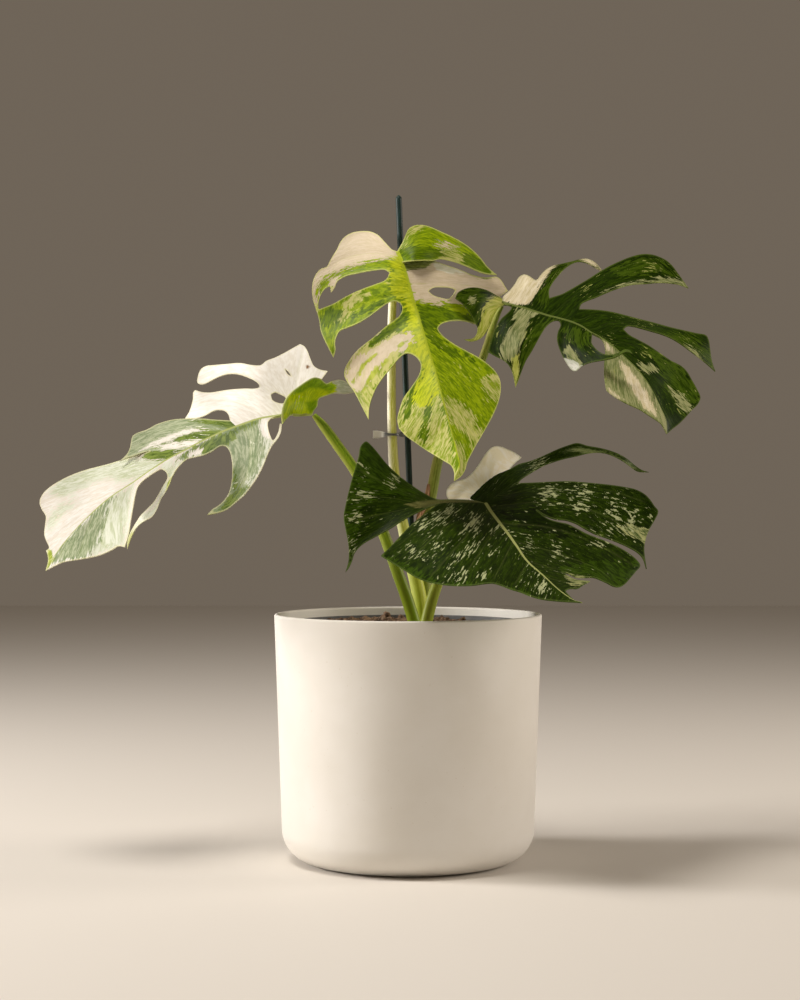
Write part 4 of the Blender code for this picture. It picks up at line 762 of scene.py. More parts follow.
def point_normals(places, triangles):
    """The way out of the surface at each point."""
    a, b, c = (places[triangles[:, i]] for i in range(3))
    face_normals = np.cross(b - a, c - a)
    normals = np.zeros_like(places)
    for i in range(3):
        np.add.at(normals, triangles[:, i], face_normals)
    return normals / np.maximum(np.linalg.norm(normals, axis=1), TINY)[:, None]


def point_means(values, triangles, count):
    """The mean over each point of a number held at its corners."""
    flat = triangles.reshape(-1)
    return np.bincount(flat, values, count) / np.maximum(np.bincount(flat, minlength=count), 1)


def rim_sides(triangles):
    """The sides that only one triangle has, in that triangle's direction, with its corner numbers."""
    seen = {}
    for row, triangle in enumerate(triangles):
        for k in range(3):
            a, b = int(triangle[k]), int(triangle[(k + 1) % 3])
            seen.setdefault((min(a, b), max(a, b)), []).append((a, b, row * 3 + k, row * 3 + (k + 1) % 3))
    return [sides[0] for sides in seen.values() if len(sides) == 1]


print("sides round one triangle:", len(rim_sides([(0, 1, 2)])))

# %% Relief, and a mesh with numbers
RIB_GROOVE = 0.0005
RIB_GROOVE_WIDTH = 0.0022
RIB_RIDGE = 0.0017
RIB_RIDGE_WIDTH = 0.0014
RIB_LINE_TIP = 0.0003
RIB_LINE_GAIN = 0.0013
RIB_SAMPLE_EVERY = 4
VEIN_FURROW = 0.0007
SWELL_POWER = 0.6
FURROW_FREE_OF_RIB = 0.006
FURROW_FREE_OF_EDGE_PX = 5


def relief_at(places, triangles, corners, spine):
    """(height, depth of the ridge underneath, share of the rib's width) at each point."""
    count = len(places)
    rib_distance = distance_to(places, spine)
    samples = spine[::RIB_SAMPLE_EVERY]
    nearest = np.argmin(((places[:, None] - samples[None]) ** 2).sum(axis=2), axis=1)
    taper = 1 - nearest / len(samples)
    across = point_means(corners["across"], triangles, count)
    margin = point_means(corners["margin"], triangles, count)
    swell = np.abs(np.sin(math.pi * across)) ** SWELL_POWER - 1
    fade = np.clip(rib_distance / FURROW_FREE_OF_RIB, 0, 1) * np.clip(margin / FURROW_FREE_OF_EDGE_PX, 0, 1)
    groove = RIB_GROOVE * np.exp(-(rib_distance / RIB_GROOVE_WIDTH) ** 2)
    height = VEIN_FURROW * swell * fade - groove * taper
    ridge = RIB_RIDGE * taper * np.exp(-(rib_distance / RIB_RIDGE_WIDTH) ** 2)
    return height, ridge, rib_distance / (RIB_LINE_TIP + RIB_LINE_GAIN * taper)


def mesh_of(name, places, faces, corner_numbers=None):
    """A smooth mesh, whose corners carry the given numbers."""
    mesh = bpy.data.meshes.new(name)
    mesh.from_pydata([tuple(place) for place in places], [], [tuple(map(int, face)) for face in faces])
    for key, values in (corner_numbers or {}).items():
        layer = mesh.attributes.new(key, "FLOAT", "CORNER")
        layer.data.foreach_set("value", np.ascontiguousarray(values, dtype=np.float32))
    mesh.shade_smooth()
    return mesh


print("the rib's groove is", RIB_GROOVE / MM, "mm deep")

# %% Close the sheet
BLADE_THICKNESS = 0.0008
BLADE_CREASE = 55
ABOVE, RIM, BELOW = 0.0, 0.5, 1.0


def closed_sheet(triangles, corners, count):
    """Faces above, below and round the rim, and the numbers at their corners."""
    faces = [tuple(face) for face in triangles] + [tuple(face[::-1] + count) for face in triangles]
    order = np.arange(len(triangles) * 3).reshape(-1, 3)
    rim = rim_sides(triangles)
    faces += [(b, a, a + count, b + count) for a, b, _, _ in rim]
    rim_corners = np.array([(j, i, i, j) for _, _, i, j in rim])
    picked = np.concatenate([order.reshape(-1), order[:, ::-1].reshape(-1), rim_corners.reshape(-1)])
    numbers = {key: values[picked] for key, values in corners.items()}
    sizes = {ABOVE: order.size, BELOW: order.size, RIM: rim_corners.size}
    numbers["under"] = np.concatenate([np.full(size, side) for side, size in sizes.items()])
    return faces, numbers


def blade(name, shared, patches):
    """The mesh of one blade, from its shared lines and its patches."""
    lines = {key: smooth_line(points_in(runs[0]), EDGE_STEP_PX) for key, runs in shared.items()}
    places, triangles, corners = joined([patch_surface(patch, lines) for patch in patches])
    normals = point_normals(places, triangles)
    spine = np.array([at(*point) for point in lines["rib"]])
    height, ridge, rib_share = relief_at(places, triangles, corners, spine)
    corners["rib"] = rib_share[triangles.reshape(-1)]
    top = places + normals * height[:, None]
    bottom = places + normals * (height - BLADE_THICKNESS - ridge)[:, None]
    faces, numbers = closed_sheet(triangles, corners, len(places))
    mesh = mesh_of(name + "_blade", np.vstack([top, bottom]), faces, numbers)
    mesh.set_sharp_from_angle(angle=math.radians(BLADE_CREASE))
    return mesh


print("a blade is", BLADE_THICKNESS / MM, "mm thick beside its rib")

# %% Make the four blades
def add_piece(name, mesh, material, slot, *nodes):
    """A piece of the plant that stands for CAD nodes."""
    piece = bpy.data.objects.new(name, mesh)
    bpy.context.scene.collection.objects.link(piece)
    mesh.materials.clear()
    mesh.materials.append(material)
    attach(piece, "root")
    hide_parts(*nodes)
    return piece


blade_meshes = {name: blade(name, *drawing) for name, drawing in DRAWINGS.items()}
print("blade triangles:", {name: len(mesh.polygons) for name, mesh in blade_meshes.items()})

# %% [markdown]
# ## A small kit for nodes
#
# Materials and Geometry Nodes trees are both graphs of nodes. One function is enough to build
# either: it adds a node, sets it, links it, and gives back the output that the next node needs.
# Colours are written as the hex codes that a screen shows and turned into the linear numbers that
# shaders reckon in. Patterns are given in millimetres, so that each can be checked with a ruler.

# %% Colours, nodes and new materials
def colour(code):
    """A colour written as RRGGBB, as the linear numbers that a shader takes."""
    parts = [int(code[i:i + 2], 16) / 255 for i in (0, 2, 4)]
    return tuple(p / 12.92 if p <= 0.04045 else ((p + 0.055) / 1.055) ** 2.4 for p in parts) + (1.0,)


def set_inputs(node, inputs):
    """Sets each input, by name or number, or links it to one output or to a list of them."""
    for key, value in inputs.items():
        for source in value if isinstance(value, list) else [value]:
            if isinstance(source, bpy.types.NodeSocket):
                node.id_data.links.new(source, node.inputs[key])
            else:
                node.inputs[key].default_value = source


def add_node(tree, kind, inputs=None, take=0, **settings):
    """Adds one node with its settings and links, and gives back one of its outputs."""
    node = tree.nodes.new(kind)
    for setting, value in settings.items():
        setattr(node, setting, value)
    set_inputs(node, inputs or {})
    return node.outputs[take] if len(node.outputs) else node


def new_material(name, roughness, specular, ior):
    """A new material, its tree and its one Principled shader."""
    material = bpy.data.materials.new(name)
    material.use_nodes = True
    shader = material.node_tree.nodes["Principled BSDF"]
    set_inputs(shader, {"Roughness": roughness, "Specular IOR Level": specular, "IOR": ior})
    return material, material.node_tree, shader


def grains(tree, size, detail=2.0, roughness=0.55, place=None):
    """A noise whose grains are size millimetres long along x, y and z of a place."""
    place = place or add_node(tree, "ShaderNodeTexCoord", take="Object")
    scale = tuple(1 / (length * MM) for length in size)
    place = add_node(tree, "ShaderNodeMapping", {"Vector": place, "Scale": scale})
    inputs = {"Vector": place, "Scale": 1.0, "Detail": detail, "Roughness": roughness}
    return add_node(tree, "ShaderNodeTexNoise", inputs)


def lay_over(tree, skin, tint, value, start, end, shares=(0.0, 1.0)):
    """Lays a tint over a skin, with a share that goes over softly while value goes from start to end."""
    steps = {0: value, 1: start, 2: end, 3: shares[0], 4: shares[1]}
    share = add_node(tree, "ShaderNodeMapRange", steps, interpolation_type="SMOOTHSTEP")
    # A Mix node takes its two colours at sockets 6 and 7, and gives them mixed at output 2
    return add_node(tree, "ShaderNodeMix", {0: share, 6: skin, 7: tint}, take=2, data_type="RGBA")


def finish(tree, shader, skin, height, strength, depth, **more):
    """Gives the shader its colour and a relief that is depth metres deep."""
    relief = {"Height": height, "Strength": strength, "Distance": depth}
    relief = add_node(tree, "ShaderNodeBump", relief)
    set_inputs(shader, {"Base Color": skin, "Normal": relief, **more})


print("white is", colour("ffffff"))

# %% [markdown]
# ## Leaf skin
#
# A leaf is soft green tissue under a thin waxy skin, so it has a broad satin sheen and no mirror
# gloss. On this plant the green is missing in places, and the cells that lack it come in streaks
# that were laid down as the leaf grew outwards: every stain is drawn out along the veins. Painting
# that by hand would take an image, so instead the drawing only says roughly where a tone lies, and
# noise that is stretched along the veins makes its border ragged. The same noise shades each tone
# and sprinkles the short pale flecks, which lie thick where the drawing has `flecks`.

# %% The tones of each blade
# `base` is a dark and a light colour. A tone is its name, its dark and its light colour, and how far
# its border wanders. `speckle` and `fleck` start with a colour and the noise from which on they show.
# `vein` and the last number of `edge` say how strongly the vein lines and the thin edge show.
LOOKS = {
    "leaf_left": dict(
        seed=1.3, gloss=0.18, base=("d3ccc0", "dedcd6"), speckle=("eceae6", 0.60, 0.5),
        tones=[
            ("pale", "b0b898", "d0d4c4", 10), ("sage", "7a8a64", "b2ba9a", 8),
            ("moss", "445a18", "788a3e", 6), ("white", "e0dbd1", "edeae4", 4),
            ("lime", "9abc00", "c8dc0c", 4), ("bright", "8a9a34", "b0ba58", 1),
            ("deep", "6c9400", "90b408", 4), ("brown", "7b5a3a", "8c6b4a", 1),
        ],
        fleck=("dadec6", 0.74, 0.16), rib="a3ad62", vein=0.12, edge=("d8d4a8", 0.5),
    ),
    "leaf_top": dict(
        seed=5.1, gloss=0.14, base=("647f00", "94ab04"), speckle=("b4bc3a", 0.60, 0.45),
        tones=[
            # On this leaf `sage` is painted shadow, and `deep` is dark green in some places and painted
            # shade in others
            ("pale", "82961a", "c2c078", 8), ("deep", "486200", "6a8400", 4),
            ("bright", "94a600", "bfc81a", 8), ("cream", "cdbfa0", "d8cab2", 7),
            ("lime", "8c9c28", "b4bc50", 2),
            ("sage", "5a6628", "868e52", 2), ("white", "d0d2b6", "e4e2d2", 3),
            ("moss", "405806", "587212", 1),
        ],
        fleck=("c0c45e", 0.74, 0.12), rib="a9b820", vein=0.16, edge=("cdd07e", 0.6),
    ),
    "leaf_right": dict(
        seed=8.7, gloss=0.07, base=("162600", "283d00"), speckle=("566e10", 0.60, 0.35),
        tones=[
            ("moss", "263a00", "43590c", 7), ("bright", "8c8e54", "c6bf94", 5),
            ("pale", "6c7844", "a2a474", 5), ("cream", "d4c8a0", "e8dec2", 4),
            ("lime", "9aa634", "c4c66a", 4), ("white", "c8ccbc", "e6e6dc", 3),
        ],
        fleck=("989e56", 0.72, 0.12), rib="6d7a3e", vein=0.08, edge=("6f7f38", 0.35),
    ),
    "leaf_front": dict(
        seed=12.9, gloss=0.07, base=("152300", "263800"), speckle=("6c7c34", 0.61, 0.5),
        tones=[
            ("moss", "1d2e00", "354c06", 7), ("cream", "f8eed2", "fff9ea", 3),
            ("brown", "45471f", "6b6a3c", 2), ("sage", "5c6a3e", "8b9060", 4),
            ("pale", "46582a", "a8aa74", 6), ("deep", "0c1600", "182600", 7),
        ],
        fleck=("a6ac80", 0.675, 0.17), rib="a3a868", vein=0.05, edge=("66783a", 0.35),
    ),
}
print("tones on each blade:", {name: len(look["tones"]) for name, look in LOOKS.items()})

# %% The pattern that follows the veins
GRAIN_ROUGHNESS = 0.62
GRAIN_WARP = 0.35
# How far each noise is moved, so that no two are alike
FINE_SHIFT, CLUSTER_SHIFT, DASH_SHIFT = 4, 9, 13


def vein_grains(tree, place, gap_share, length, detail, shift):
    """A noise whose grains take a share of the gap between two veins and are length mm long."""
    scale = (1 / gap_share, PX / (length * MM), 0)
    inputs = {"Vector": place, "Location": (0, 0, shift), "Scale": scale}
    place = add_node(tree, "ShaderNodeMapping", inputs)
    inputs = {"Vector": place, "Scale": 1.0, "Detail": detail}
    inputs |= {"Roughness": GRAIN_ROUGHNESS, "Distortion": GRAIN_WARP}
    return add_node(tree, "ShaderNodeTexNoise", inputs)


def read(tree, name, take="Fac"):
    """A number or a vector that the mesh carries."""
    return add_node(tree, "ShaderNodeAttribute", take=take, attribute_name=name)


print("one pixel of a vein's length is", round(PX / MM, 3), "mm")

# %% Tones and flecks
NOISE_MIDDLE = 0.85
TONE_WANDER = 3.0
TONE_SOFT_PX = (0.7, 0.9)
# For each noise: a grain's share of the gap between two veins, its length in mm, and the detail
FLECK_DASHES = (1 / 11, 6.9, 4.0)
FLECK_CLUSTERS = (1 / 2.2, 27.0, 2.0)
CLUSTER_SHARE = 0.3
FLECK_FADE = (0.15, 0.19)


def tones_over(tree, skin, look, shade, mixed):
    """Lays each tone over the skin; its border wanders with the noise, in pixels."""
    for index, (tone, first, other, border) in enumerate(look["tones"]):
        wander = TONE_WANDER * border * (-1 if index % 2 else 1)
        depth = {0: mixed, 1: wander, 2: read(tree, "tone_" + tone)}
        depth = add_node(tree, "ShaderNodeMath", depth, operation="MULTIPLY_ADD")
        pair = {0: shade, 6: colour(first), 7: colour(other)}
        tint = add_node(tree, "ShaderNodeMix", pair, take=2, data_type="RGBA")
        middle = wander * NOISE_MIDDLE
        before, after = TONE_SOFT_PX
        skin = lay_over(tree, skin, tint, depth, middle - before, middle + after)
    return skin


def flecks_over(tree, skin, look, place):
    """Short pale dashes along the veins, thick where the mesh says so."""
    fleck, least, reach = look["fleck"]
    dashes = vein_grains(tree, place, *FLECK_DASHES, look["seed"] + DASH_SHIFT)
    clusters = vein_grains(tree, place, *FLECK_CLUSTERS, look["seed"] + CLUSTER_SHIFT)
    amount = {0: clusters, 1: CLUSTER_SHARE, 2: dashes}
    amount = add_node(tree, "ShaderNodeMath", amount, operation="MULTIPLY_ADD")
    amount = {0: read(tree, "flecks"), 1: reach, 2: amount}
    amount = add_node(tree, "ShaderNodeMath", amount, operation="MULTIPLY_ADD")
    start, end = FLECK_FADE
    return lay_over(tree, skin, colour(fleck), amount, least + start, least + end)


print("a fleck is about", FLECK_DASHES[1], "mm long")

# %% Veins, midrib and thin edge
# A line fades out between two distances: shares of the gap between veins, shares of the rib's width,
# or pixels from the blade's edge
VEIN_LINE = (0.015, 0.05)
VEIN_FADE_PX = (2.0, 9.0)
RIB_LINE = (0.7, 1.15)
RIB_SHARE = 0.9
THIN_EDGE_PX = (0.4, 1.4)


def lines_over(tree, skin, look, across, margin):
    """Fine lines on the veins, the midrib, and the leaf's thin edge, which lets light through."""
    vein = add_node(tree, "ShaderNodeMath", {0: across, 1: 0.5}, operation="PINGPONG")
    fade = {0: margin, 1: VEIN_FADE_PX[0], 2: VEIN_FADE_PX[1], 3: 0.0, 4: look["vein"]}
    fade = add_node(tree, "ShaderNodeMapRange", fade, interpolation_type="SMOOTHSTEP")
    near = {0: vein, 1: VEIN_LINE[0], 2: VEIN_LINE[1], 3: fade, 4: 0.0}
    near = add_node(tree, "ShaderNodeMapRange", near, interpolation_type="SMOOTHSTEP")
    rib = colour(look["rib"])
    skin = add_node(tree, "ShaderNodeMix", {0: near, 6: skin, 7: rib}, take=2, data_type="RGBA")
    skin = lay_over(tree, skin, rib, read(tree, "rib"), *RIB_LINE, (RIB_SHARE, 0.0))
    edge, share = look["edge"]
    return lay_over(tree, skin, colour(edge), margin, *THIN_EDGE_PX, (share, 0.0))


print("the thin edge is", round(THIN_EDGE_PX[1] * PX / MM, 1), "mm wide")

# %% Waxy leaf
LEAF_ROUGHNESS = 0.42
LEAF_IOR = 1.45
STREAKS = (1 / 5.5, 15.0, 4.0)
FINE_STREAKS = (1 / 16, 6.3, 4.0)
STREAK_SHARE = 0.7
SHADE_RANGE = (0.71, 0.99)
SPECKLE_FADE = 0.08
UNDERSIDE = "c3c9a0"
UNDERSIDE_RANGE = (0.6, 0.9)
UNDERSIDE_SHARE = 0.35
CELL_MM = 1.1
CELL_SHARE = 0.7
SIDE_VEINS_PER_VEIN = 5.0
# Sockets 1 to 4 of a Map Range node: the range that comes in, and the range that goes out
SHEEN_OF_STREAKS = {1: 0.2, 2: 0.8, 3: 0.36, 4: 0.52}


def waxy_leaf(name, look):
    """Satin leaf skin, variegated along its veins, and paler and duller underneath."""
    material, tree, shader = new_material("waxy_" + name, LEAF_ROUGHNESS, look["gloss"], LEAF_IOR)
    across, outward, margin = (read(tree, key) for key in ("across", "outward", "margin"))
    place = add_node(tree, "ShaderNodeCombineXYZ", {"X": across, "Y": outward})
    streaks = vein_grains(tree, place, *STREAKS, look["seed"])
    fine = vein_grains(tree, place, *FINE_STREAKS, look["seed"] + FINE_SHIFT)
    mixed = {0: streaks, 1: STREAK_SHARE, 2: fine}
    mixed = add_node(tree, "ShaderNodeMath", mixed, operation="MULTIPLY_ADD")
    shade = {0: mixed, 1: SHADE_RANGE[0], 2: SHADE_RANGE[1]}
    shade = add_node(tree, "ShaderNodeMapRange", shade, interpolation_type="SMOOTHSTEP")
    dark, light = look["base"]
    skin = {0: shade, 6: colour(dark), 7: colour(light)}
    skin = add_node(tree, "ShaderNodeMix", skin, take=2, data_type="RGBA")
    speckle, least, share = look["speckle"]
    skin = lay_over(tree, skin, colour(speckle), fine, least, least + SPECKLE_FADE, (0.0, share))
    skin = tones_over(tree, skin, look, shade, mixed)
    skin = flecks_over(tree, skin, look, place)
    skin = lines_over(tree, skin, look, across, margin)

    under = {0: read(tree, "under"), 1: read(tree, "folded")}
    under = add_node(tree, "ShaderNodeMath", under, operation="SUBTRACT")
    under = add_node(tree, "ShaderNodeMath", {0: under}, operation="ABSOLUTE")
    skin = lay_over(tree, skin, colour(UNDERSIDE), under, *UNDERSIDE_RANGE, (0.0, UNDERSIDE_SHARE))
    cells = grains(tree, (CELL_MM, CELL_MM, CELL_MM))
    side_veins = add_node(tree, "ShaderNodeMath", {0: across, 1: SIDE_VEINS_PER_VEIN}, operation="MULTIPLY")
    side_veins = add_node(tree, "ShaderNodeMath", {0: side_veins, 1: 0.5}, operation="PINGPONG")
    height = {0: cells, 1: CELL_SHARE, 2: side_veins}
    height = add_node(tree, "ShaderNodeMath", height, operation="MULTIPLY_ADD")
    gloss = {0: streaks, **SHEEN_OF_STREAKS}
    gloss = add_node(tree, "ShaderNodeMapRange", gloss, interpolation_type="SMOOTHSTEP")
    finish(tree, shader, skin, height, strength=0.25, depth=0.3 * MM, Roughness=gloss)
    return material


print("a leaf's streak is", STREAKS[1], "mm long and its side veins", SIDE_VEINS_PER_VEIN, "to a vein")

# %% Dress the four blades
for name, mesh in blade_meshes.items():
    add_piece(name + "_blade", mesh, waxy_leaf(name, LOOKS[name]), name, name)
print("blades dressed:", list(blade_meshes))

# %% [markdown]
# ## Pieces that follow a path
#
# The stalks and the stake are round all along, and only their path and their thickness change. They
# could be modelled as bent cylinders, but then each change of the path means new modelling. Here
# Python lays a chain of edges, and a Geometry Nodes tree sweeps a ring along it. The tree also
# stores where each point would lie if the stalk were straightened, for the streaks of its material.
# A tree is run once and its result kept as a plain mesh, because only plain meshes are handed over.

# %% Start, end and run a tree
def new_form(name, sizes):
    """A Geometry Nodes tree with a named input for each size, and those inputs."""
    tree = bpy.data.node_groups.new(name, "GeometryNodeTree")
    tree.interface.new_socket("Geometry", in_out="OUTPUT", socket_type="NodeSocketGeometry")
    for size, kind in {"Geometry": "Geometry", **sizes, "Material": "Material"}.items():
        tree.interface.new_socket(size, in_out="INPUT", socket_type="NodeSocket" + kind)
    return tree, tree.nodes.new("NodeGroupInput").outputs


def end_form(tree, given, geometry):
    """Ends a tree, so that it gives one mesh with its material."""
    geometry = add_node(tree, "GeometryNodeRealizeInstances", {"Geometry": geometry})
    inputs = {"Geometry": geometry, "Material": given["Material"]}
    geometry = add_node(tree, "GeometryNodeSetMaterial", inputs)
    add_node(tree, "NodeGroupOutput", {"Geometry": geometry})
    return tree


def run_form(name, tree, base, sizes, crease):
    """The plain mesh that a tree makes of a base mesh, sharp where it turns by crease degrees."""
    piece = bpy.data.objects.new(name, base)
    bpy.context.scene.collection.objects.link(piece)
    modifier = piece.modifiers.new(name, "NODES")
    modifier.node_group = tree
    for item in tree.interface.items_tree:
        if item.name in sizes:
            modifier[item.identifier] = sizes[item.name]
    evaluated = piece.evaluated_get(bpy.context.evaluated_depsgraph_get())
    mesh = bpy.data.meshes.new_from_object(evaluated)
    piece.modifiers.remove(modifier)
    bpy.data.objects.remove(piece)
    mesh.name = name
    mesh.shade_smooth()
    mesh.set_sharp_from_angle(angle=math.radians(crease))
    return mesh


print("tools are ready: new_form, end_form, run_form")

# %% A chain of edges, and a ring swept along it
def chain(name, stations):
    """Edges through (place, radius) stations, which carry the radius as a number."""
    edges = [(i, i + 1) for i in range(len(stations) - 1)]
    mesh = bpy.data.meshes.new(name)
    mesh.from_pydata([place for place, _ in stations], edges, [])
    thickness = mesh.attributes.new("thickness", "FLOAT", "POINT")
    thickness.data.foreach_set("value", [radius for _, radius in stations])
    return mesh


def swept(tree, given, path, radius):
    """A ring swept along a path, with the straightened place stored as `straight`."""
    inputs = {"Resolution": given["Sides"], "Radius": 1.0}
    ring = add_node(tree, "GeometryNodeCurvePrimitiveCircle", inputs)
    place = add_node(tree, "GeometryNodeInputPosition")
    store = {"Geometry": ring, "Name": "around", "Value": place}
    ring = add_node(tree, "GeometryNodeStoreNamedAttribute", store, data_type="FLOAT_VECTOR")
    length = add_node(tree, "GeometryNodeSplineParameter", take="Length")
    along = {"Geometry": path, "Name": "along", "Value": length}
    path = add_node(tree, "GeometryNodeStoreNamedAttribute", along, data_type="FLOAT")
    store = {"Geometry": path, "Name": "swept_radius", "Value": radius}
    path = add_node(tree, "GeometryNodeStoreNamedAttribute", store, data_type="FLOAT")
    inputs = {"Name": "swept_radius"}
    swept_radius = add_node(tree, "GeometryNodeInputNamedAttribute", inputs, data_type="FLOAT")
    inputs = {"Curve": path, "Profile Curve": ring, "Scale": swept_radius, "Fill Caps": True}
    skin = add_node(tree, "GeometryNodeCurveToMesh", inputs)
    around = add_node(tree, "GeometryNodeInputNamedAttribute", {"Name": "around"}, data_type="FLOAT_VECTOR")
    along = add_node(tree, "GeometryNodeInputNamedAttribute", {"Name": "along"}, data_type="FLOAT")
    around = add_node(tree, "ShaderNodeVectorMath", {0: around, "Scale": swept_radius}, operation="SCALE")
    along = add_node(tree, "ShaderNodeCombineXYZ", {"Z": along})
    straight = add_node(tree, "ShaderNodeVectorMath", {0: around, 1: along}, operation="ADD")
    store = {"Geometry": skin, "Name": "straight", "Value": straight}
    return add_node(tree, "GeometryNodeStoreNamedAttribute", store, data_type="FLOAT_VECTOR")


def stalk_form():
    """A tree that makes a stalk of a path whose points carry their thickness."""
    tree, given = new_form("stalk_along_path", {"Sides": "Int"})
    path = add_node(tree, "GeometryNodeMeshToCurve", {"Mesh": given["Geometry"]})
    radius = add_node(tree, "GeometryNodeInputNamedAttribute", {"Name": "thickness"}, data_type="FLOAT")
    return end_form(tree, given, swept(tree, given, path, radius))


stalk_tree = stalk_form()
print("tree:", stalk_tree.name, "with", len(stalk_tree.nodes), "nodes")

# %% [markdown]
# ## The stalks
#
# A monstera's leaf stalk is smooth and firm, thick at the soil and thin at the blade, with fine
# streaks along it. A bevelled curve could make one, but it has no straightened place for the
# streaks to follow. So each one is given by a few stations of `x,y,depth,diameter` from the soil
# upwards, a smooth line runs through them, and the tree above sweeps the ring. The part that stands
# in the soil's hole goes straight on downwards. A living stalk lets light in and scatters it, so the
# side towards the light is paler. That light and shade is painted into the colour: the material has
# a painted highlight for what faces left, and painted light and shade for what faces right.

# %% Where the stalks run
STALKS = {
    "petiole_left": (
        "416,628,-7,10.4 407.5,600,-7,10 398,574,-8,9.6 386,540,-8,9.4 372,506,-5,9.2 357,474,-3,9 "
        "338,446,1,8.6 323,425.5,5.5,7.6 314.2,415.2,7.4,4.4"
    ),
    "petiole_top": (
        "423,628,7,12.4 419,595,7,12 411,560,7,11 403,526,7,9.6 397,495,7,8.8 393.5,462,7,8.2 "
        "392,430,7,7.6 391.5,395,7,7.2 391.5,355,6,7 392,315,5,6.8 394.5,276,2.6,6.2 397,258.5,0,4.6"
    ),
    "petiole_right": (
        "426,624,25,10.4 425,590,24,10 425,550,23,9.6 427,518,21,9.2 432,492,20,9 438,460,20,8.8 "
        "449,430,20,8.4 463,400,21,7.8 477,372,22,7.2 487,346,23,6.6 493,326,25,6 498,313,27,5 "
        "502,306.2,27.4,3.6"
    ),
    "petiole_front": (
        "425,628,-19,10 431,603,-18,9.6 437,585,-17,9 446,562,-16,8.4 457,541,-17,7.8 468,525,-22,7 "
        "477,514.5,-26.5,6 484.4,507.9,-31.6,4"
    ),
}
STALK_IN_SOIL = 0.016
STALK_SIDES = 28
STALK_STEP_PX = 3


def stalk_stations(text):
    """(place, radius) stations of a stalk, from the foot in the soil up to the blade."""
    line = smooth_line(points_in(text.split()), STALK_STEP_PX)
    stations = [(at(x, y, depth), float(diameter) / 2 * MM) for x, y, depth, diameter in line]
    (ground, radius), (above, _) = stations[0], stations[1]
    direction = (ground - above).normalized()
    foot = ground + direction * (STALK_IN_SOIL / -direction.z)
    return [(foot, radius), *stations]


print("stations:", {name: len(stalk_stations(text)) for name, text in STALKS.items()})

# %% Stalk skin, and the four stalks
# For each stalk: its dark and its light colour, the painted highlight on its left side, the painted
# light and shade on its right side, and its foot
STALK_COLOURS = {
    "petiole_left": ("5e7c04", "8fa81e", "bcc84c", "a0a850", "8fa81e"),
    "petiole_top": ("d0d254", "faf8ac", "fffae0", "c0bc54", "e2ee4c"),
    "petiole_right": ("6e7e20", "9ca848", "a09e50", "7c8a2c", "9ca848"),
    "petiole_front": ("82991a", "b8c840", "d2de64", "8a9e1c", "b8c840"),
}
FOOT_GREEN = (50 * MM, 160 * MM)
STALK_STREAK_MM = (1.4, 1.4, 60)
STALK_GRAIN_MM = (1.1, 1.1, 5)
# Where the painted highlight on the left side and the painted light and shade on the right side fade in, by
# which way the skin faces
FROM_LEFT = (-0.19, 0.46)
FROM_RIGHT = (0.91, 1.36)
FINE_SHARE = 0.4
STALK_SHADE = (0.58, 0.82)
FACING_RAGGED = 0.8
FOOT_SHARE = 0.8
STALK_CREASE = 60


def fleshy_stalk(name, dark, light, painted_left_highlight, painted_right_light_and_shade, foot):
    """Smooth green stalk skin with streaks 1.4 mm wide, painted light and shade on its two sides, and a
    colour for its foot.
    """
    material, tree, shader = new_material("fleshy_" + name, roughness=0.42, specular=0.35, ior=LEAF_IOR)
    place = read(tree, "straight", "Vector")
    streaks = grains(tree, STALK_STREAK_MM, detail=3.0, roughness=0.6, place=place)
    fine = grains(tree, STALK_GRAIN_MM)
    mixed = add_node(tree, "ShaderNodeMath", {0: fine, 1: FINE_SHARE, 2: streaks}, operation="MULTIPLY_ADD")
    skin = lay_over(tree, colour(dark), colour(light), mixed, *STALK_SHADE)
    normal = add_node(tree, "ShaderNodeNewGeometry", take="Normal")
    facing = add_node(tree, "ShaderNodeSeparateXYZ", {0: normal})
    facing = {0: mixed, 1: FACING_RAGGED, 2: facing}
    facing = add_node(tree, "ShaderNodeMath", facing, operation="MULTIPLY_ADD")
    # Painted highlight on what faces left, then painted light and shade on what faces right
    skin = lay_over(tree, skin, colour(painted_left_highlight), facing, *FROM_LEFT, (1.0, 0.0))
    skin = lay_over(tree, skin, colour(painted_right_light_and_shade), facing, *FROM_RIGHT)
    along = add_node(tree, "ShaderNodeSeparateXYZ", {0: read(tree, "straight", "Vector")}, take="Z")
    skin = lay_over(tree, skin, colour(foot), along, *FOOT_GREEN, (FOOT_SHARE, 0.0))
    finish(tree, shader, skin, streaks, strength=0.3, depth=0.4 * MM)
    return material


for name, text in STALKS.items():
    slot = "stalk_cream" if name == "petiole_top" else "stalk_green"
    material = fleshy_stalk(name, *STALK_COLOURS[name])
    path = chain(name + "_path", stalk_stations(text))
    sizes = {"Sides": STALK_SIDES, "Material": material}
    mesh = run_form(name + "_stalk", stalk_tree, path, sizes, STALK_CREASE)
    add_piece(name + "_stalk", mesh, material, slot, name)
    print(name, "has", len(mesh.polygons), "faces")

# %% [markdown]
# ## The stake
#
# The stake is a thin steel rod in a dark green vinyl coat, with fine rings pressed into the coat
# and a rounded top. The rings could be a bump in the material, but they show in the rod's outline,
# so they are real. They repeat, so the tree makes them: it puts points along a straight path
# at half the spacing of the rings, makes every other point thinner, and rounds the last few off.

# %% The ringed rod
STAKE_TOP = at(398.6, 195.2, 18)
STAKE_GROUND = at(414.6, 622, 18)
STAKE_IN_SOIL = 0.120
STAKE_SIZES = {"Sides": 24, "Radius": 2.66 * MM, "Ring Spacing": 2.2 * MM, "Ring Depth": 0.15 * MM}
NOSE_SHARE = 0.17


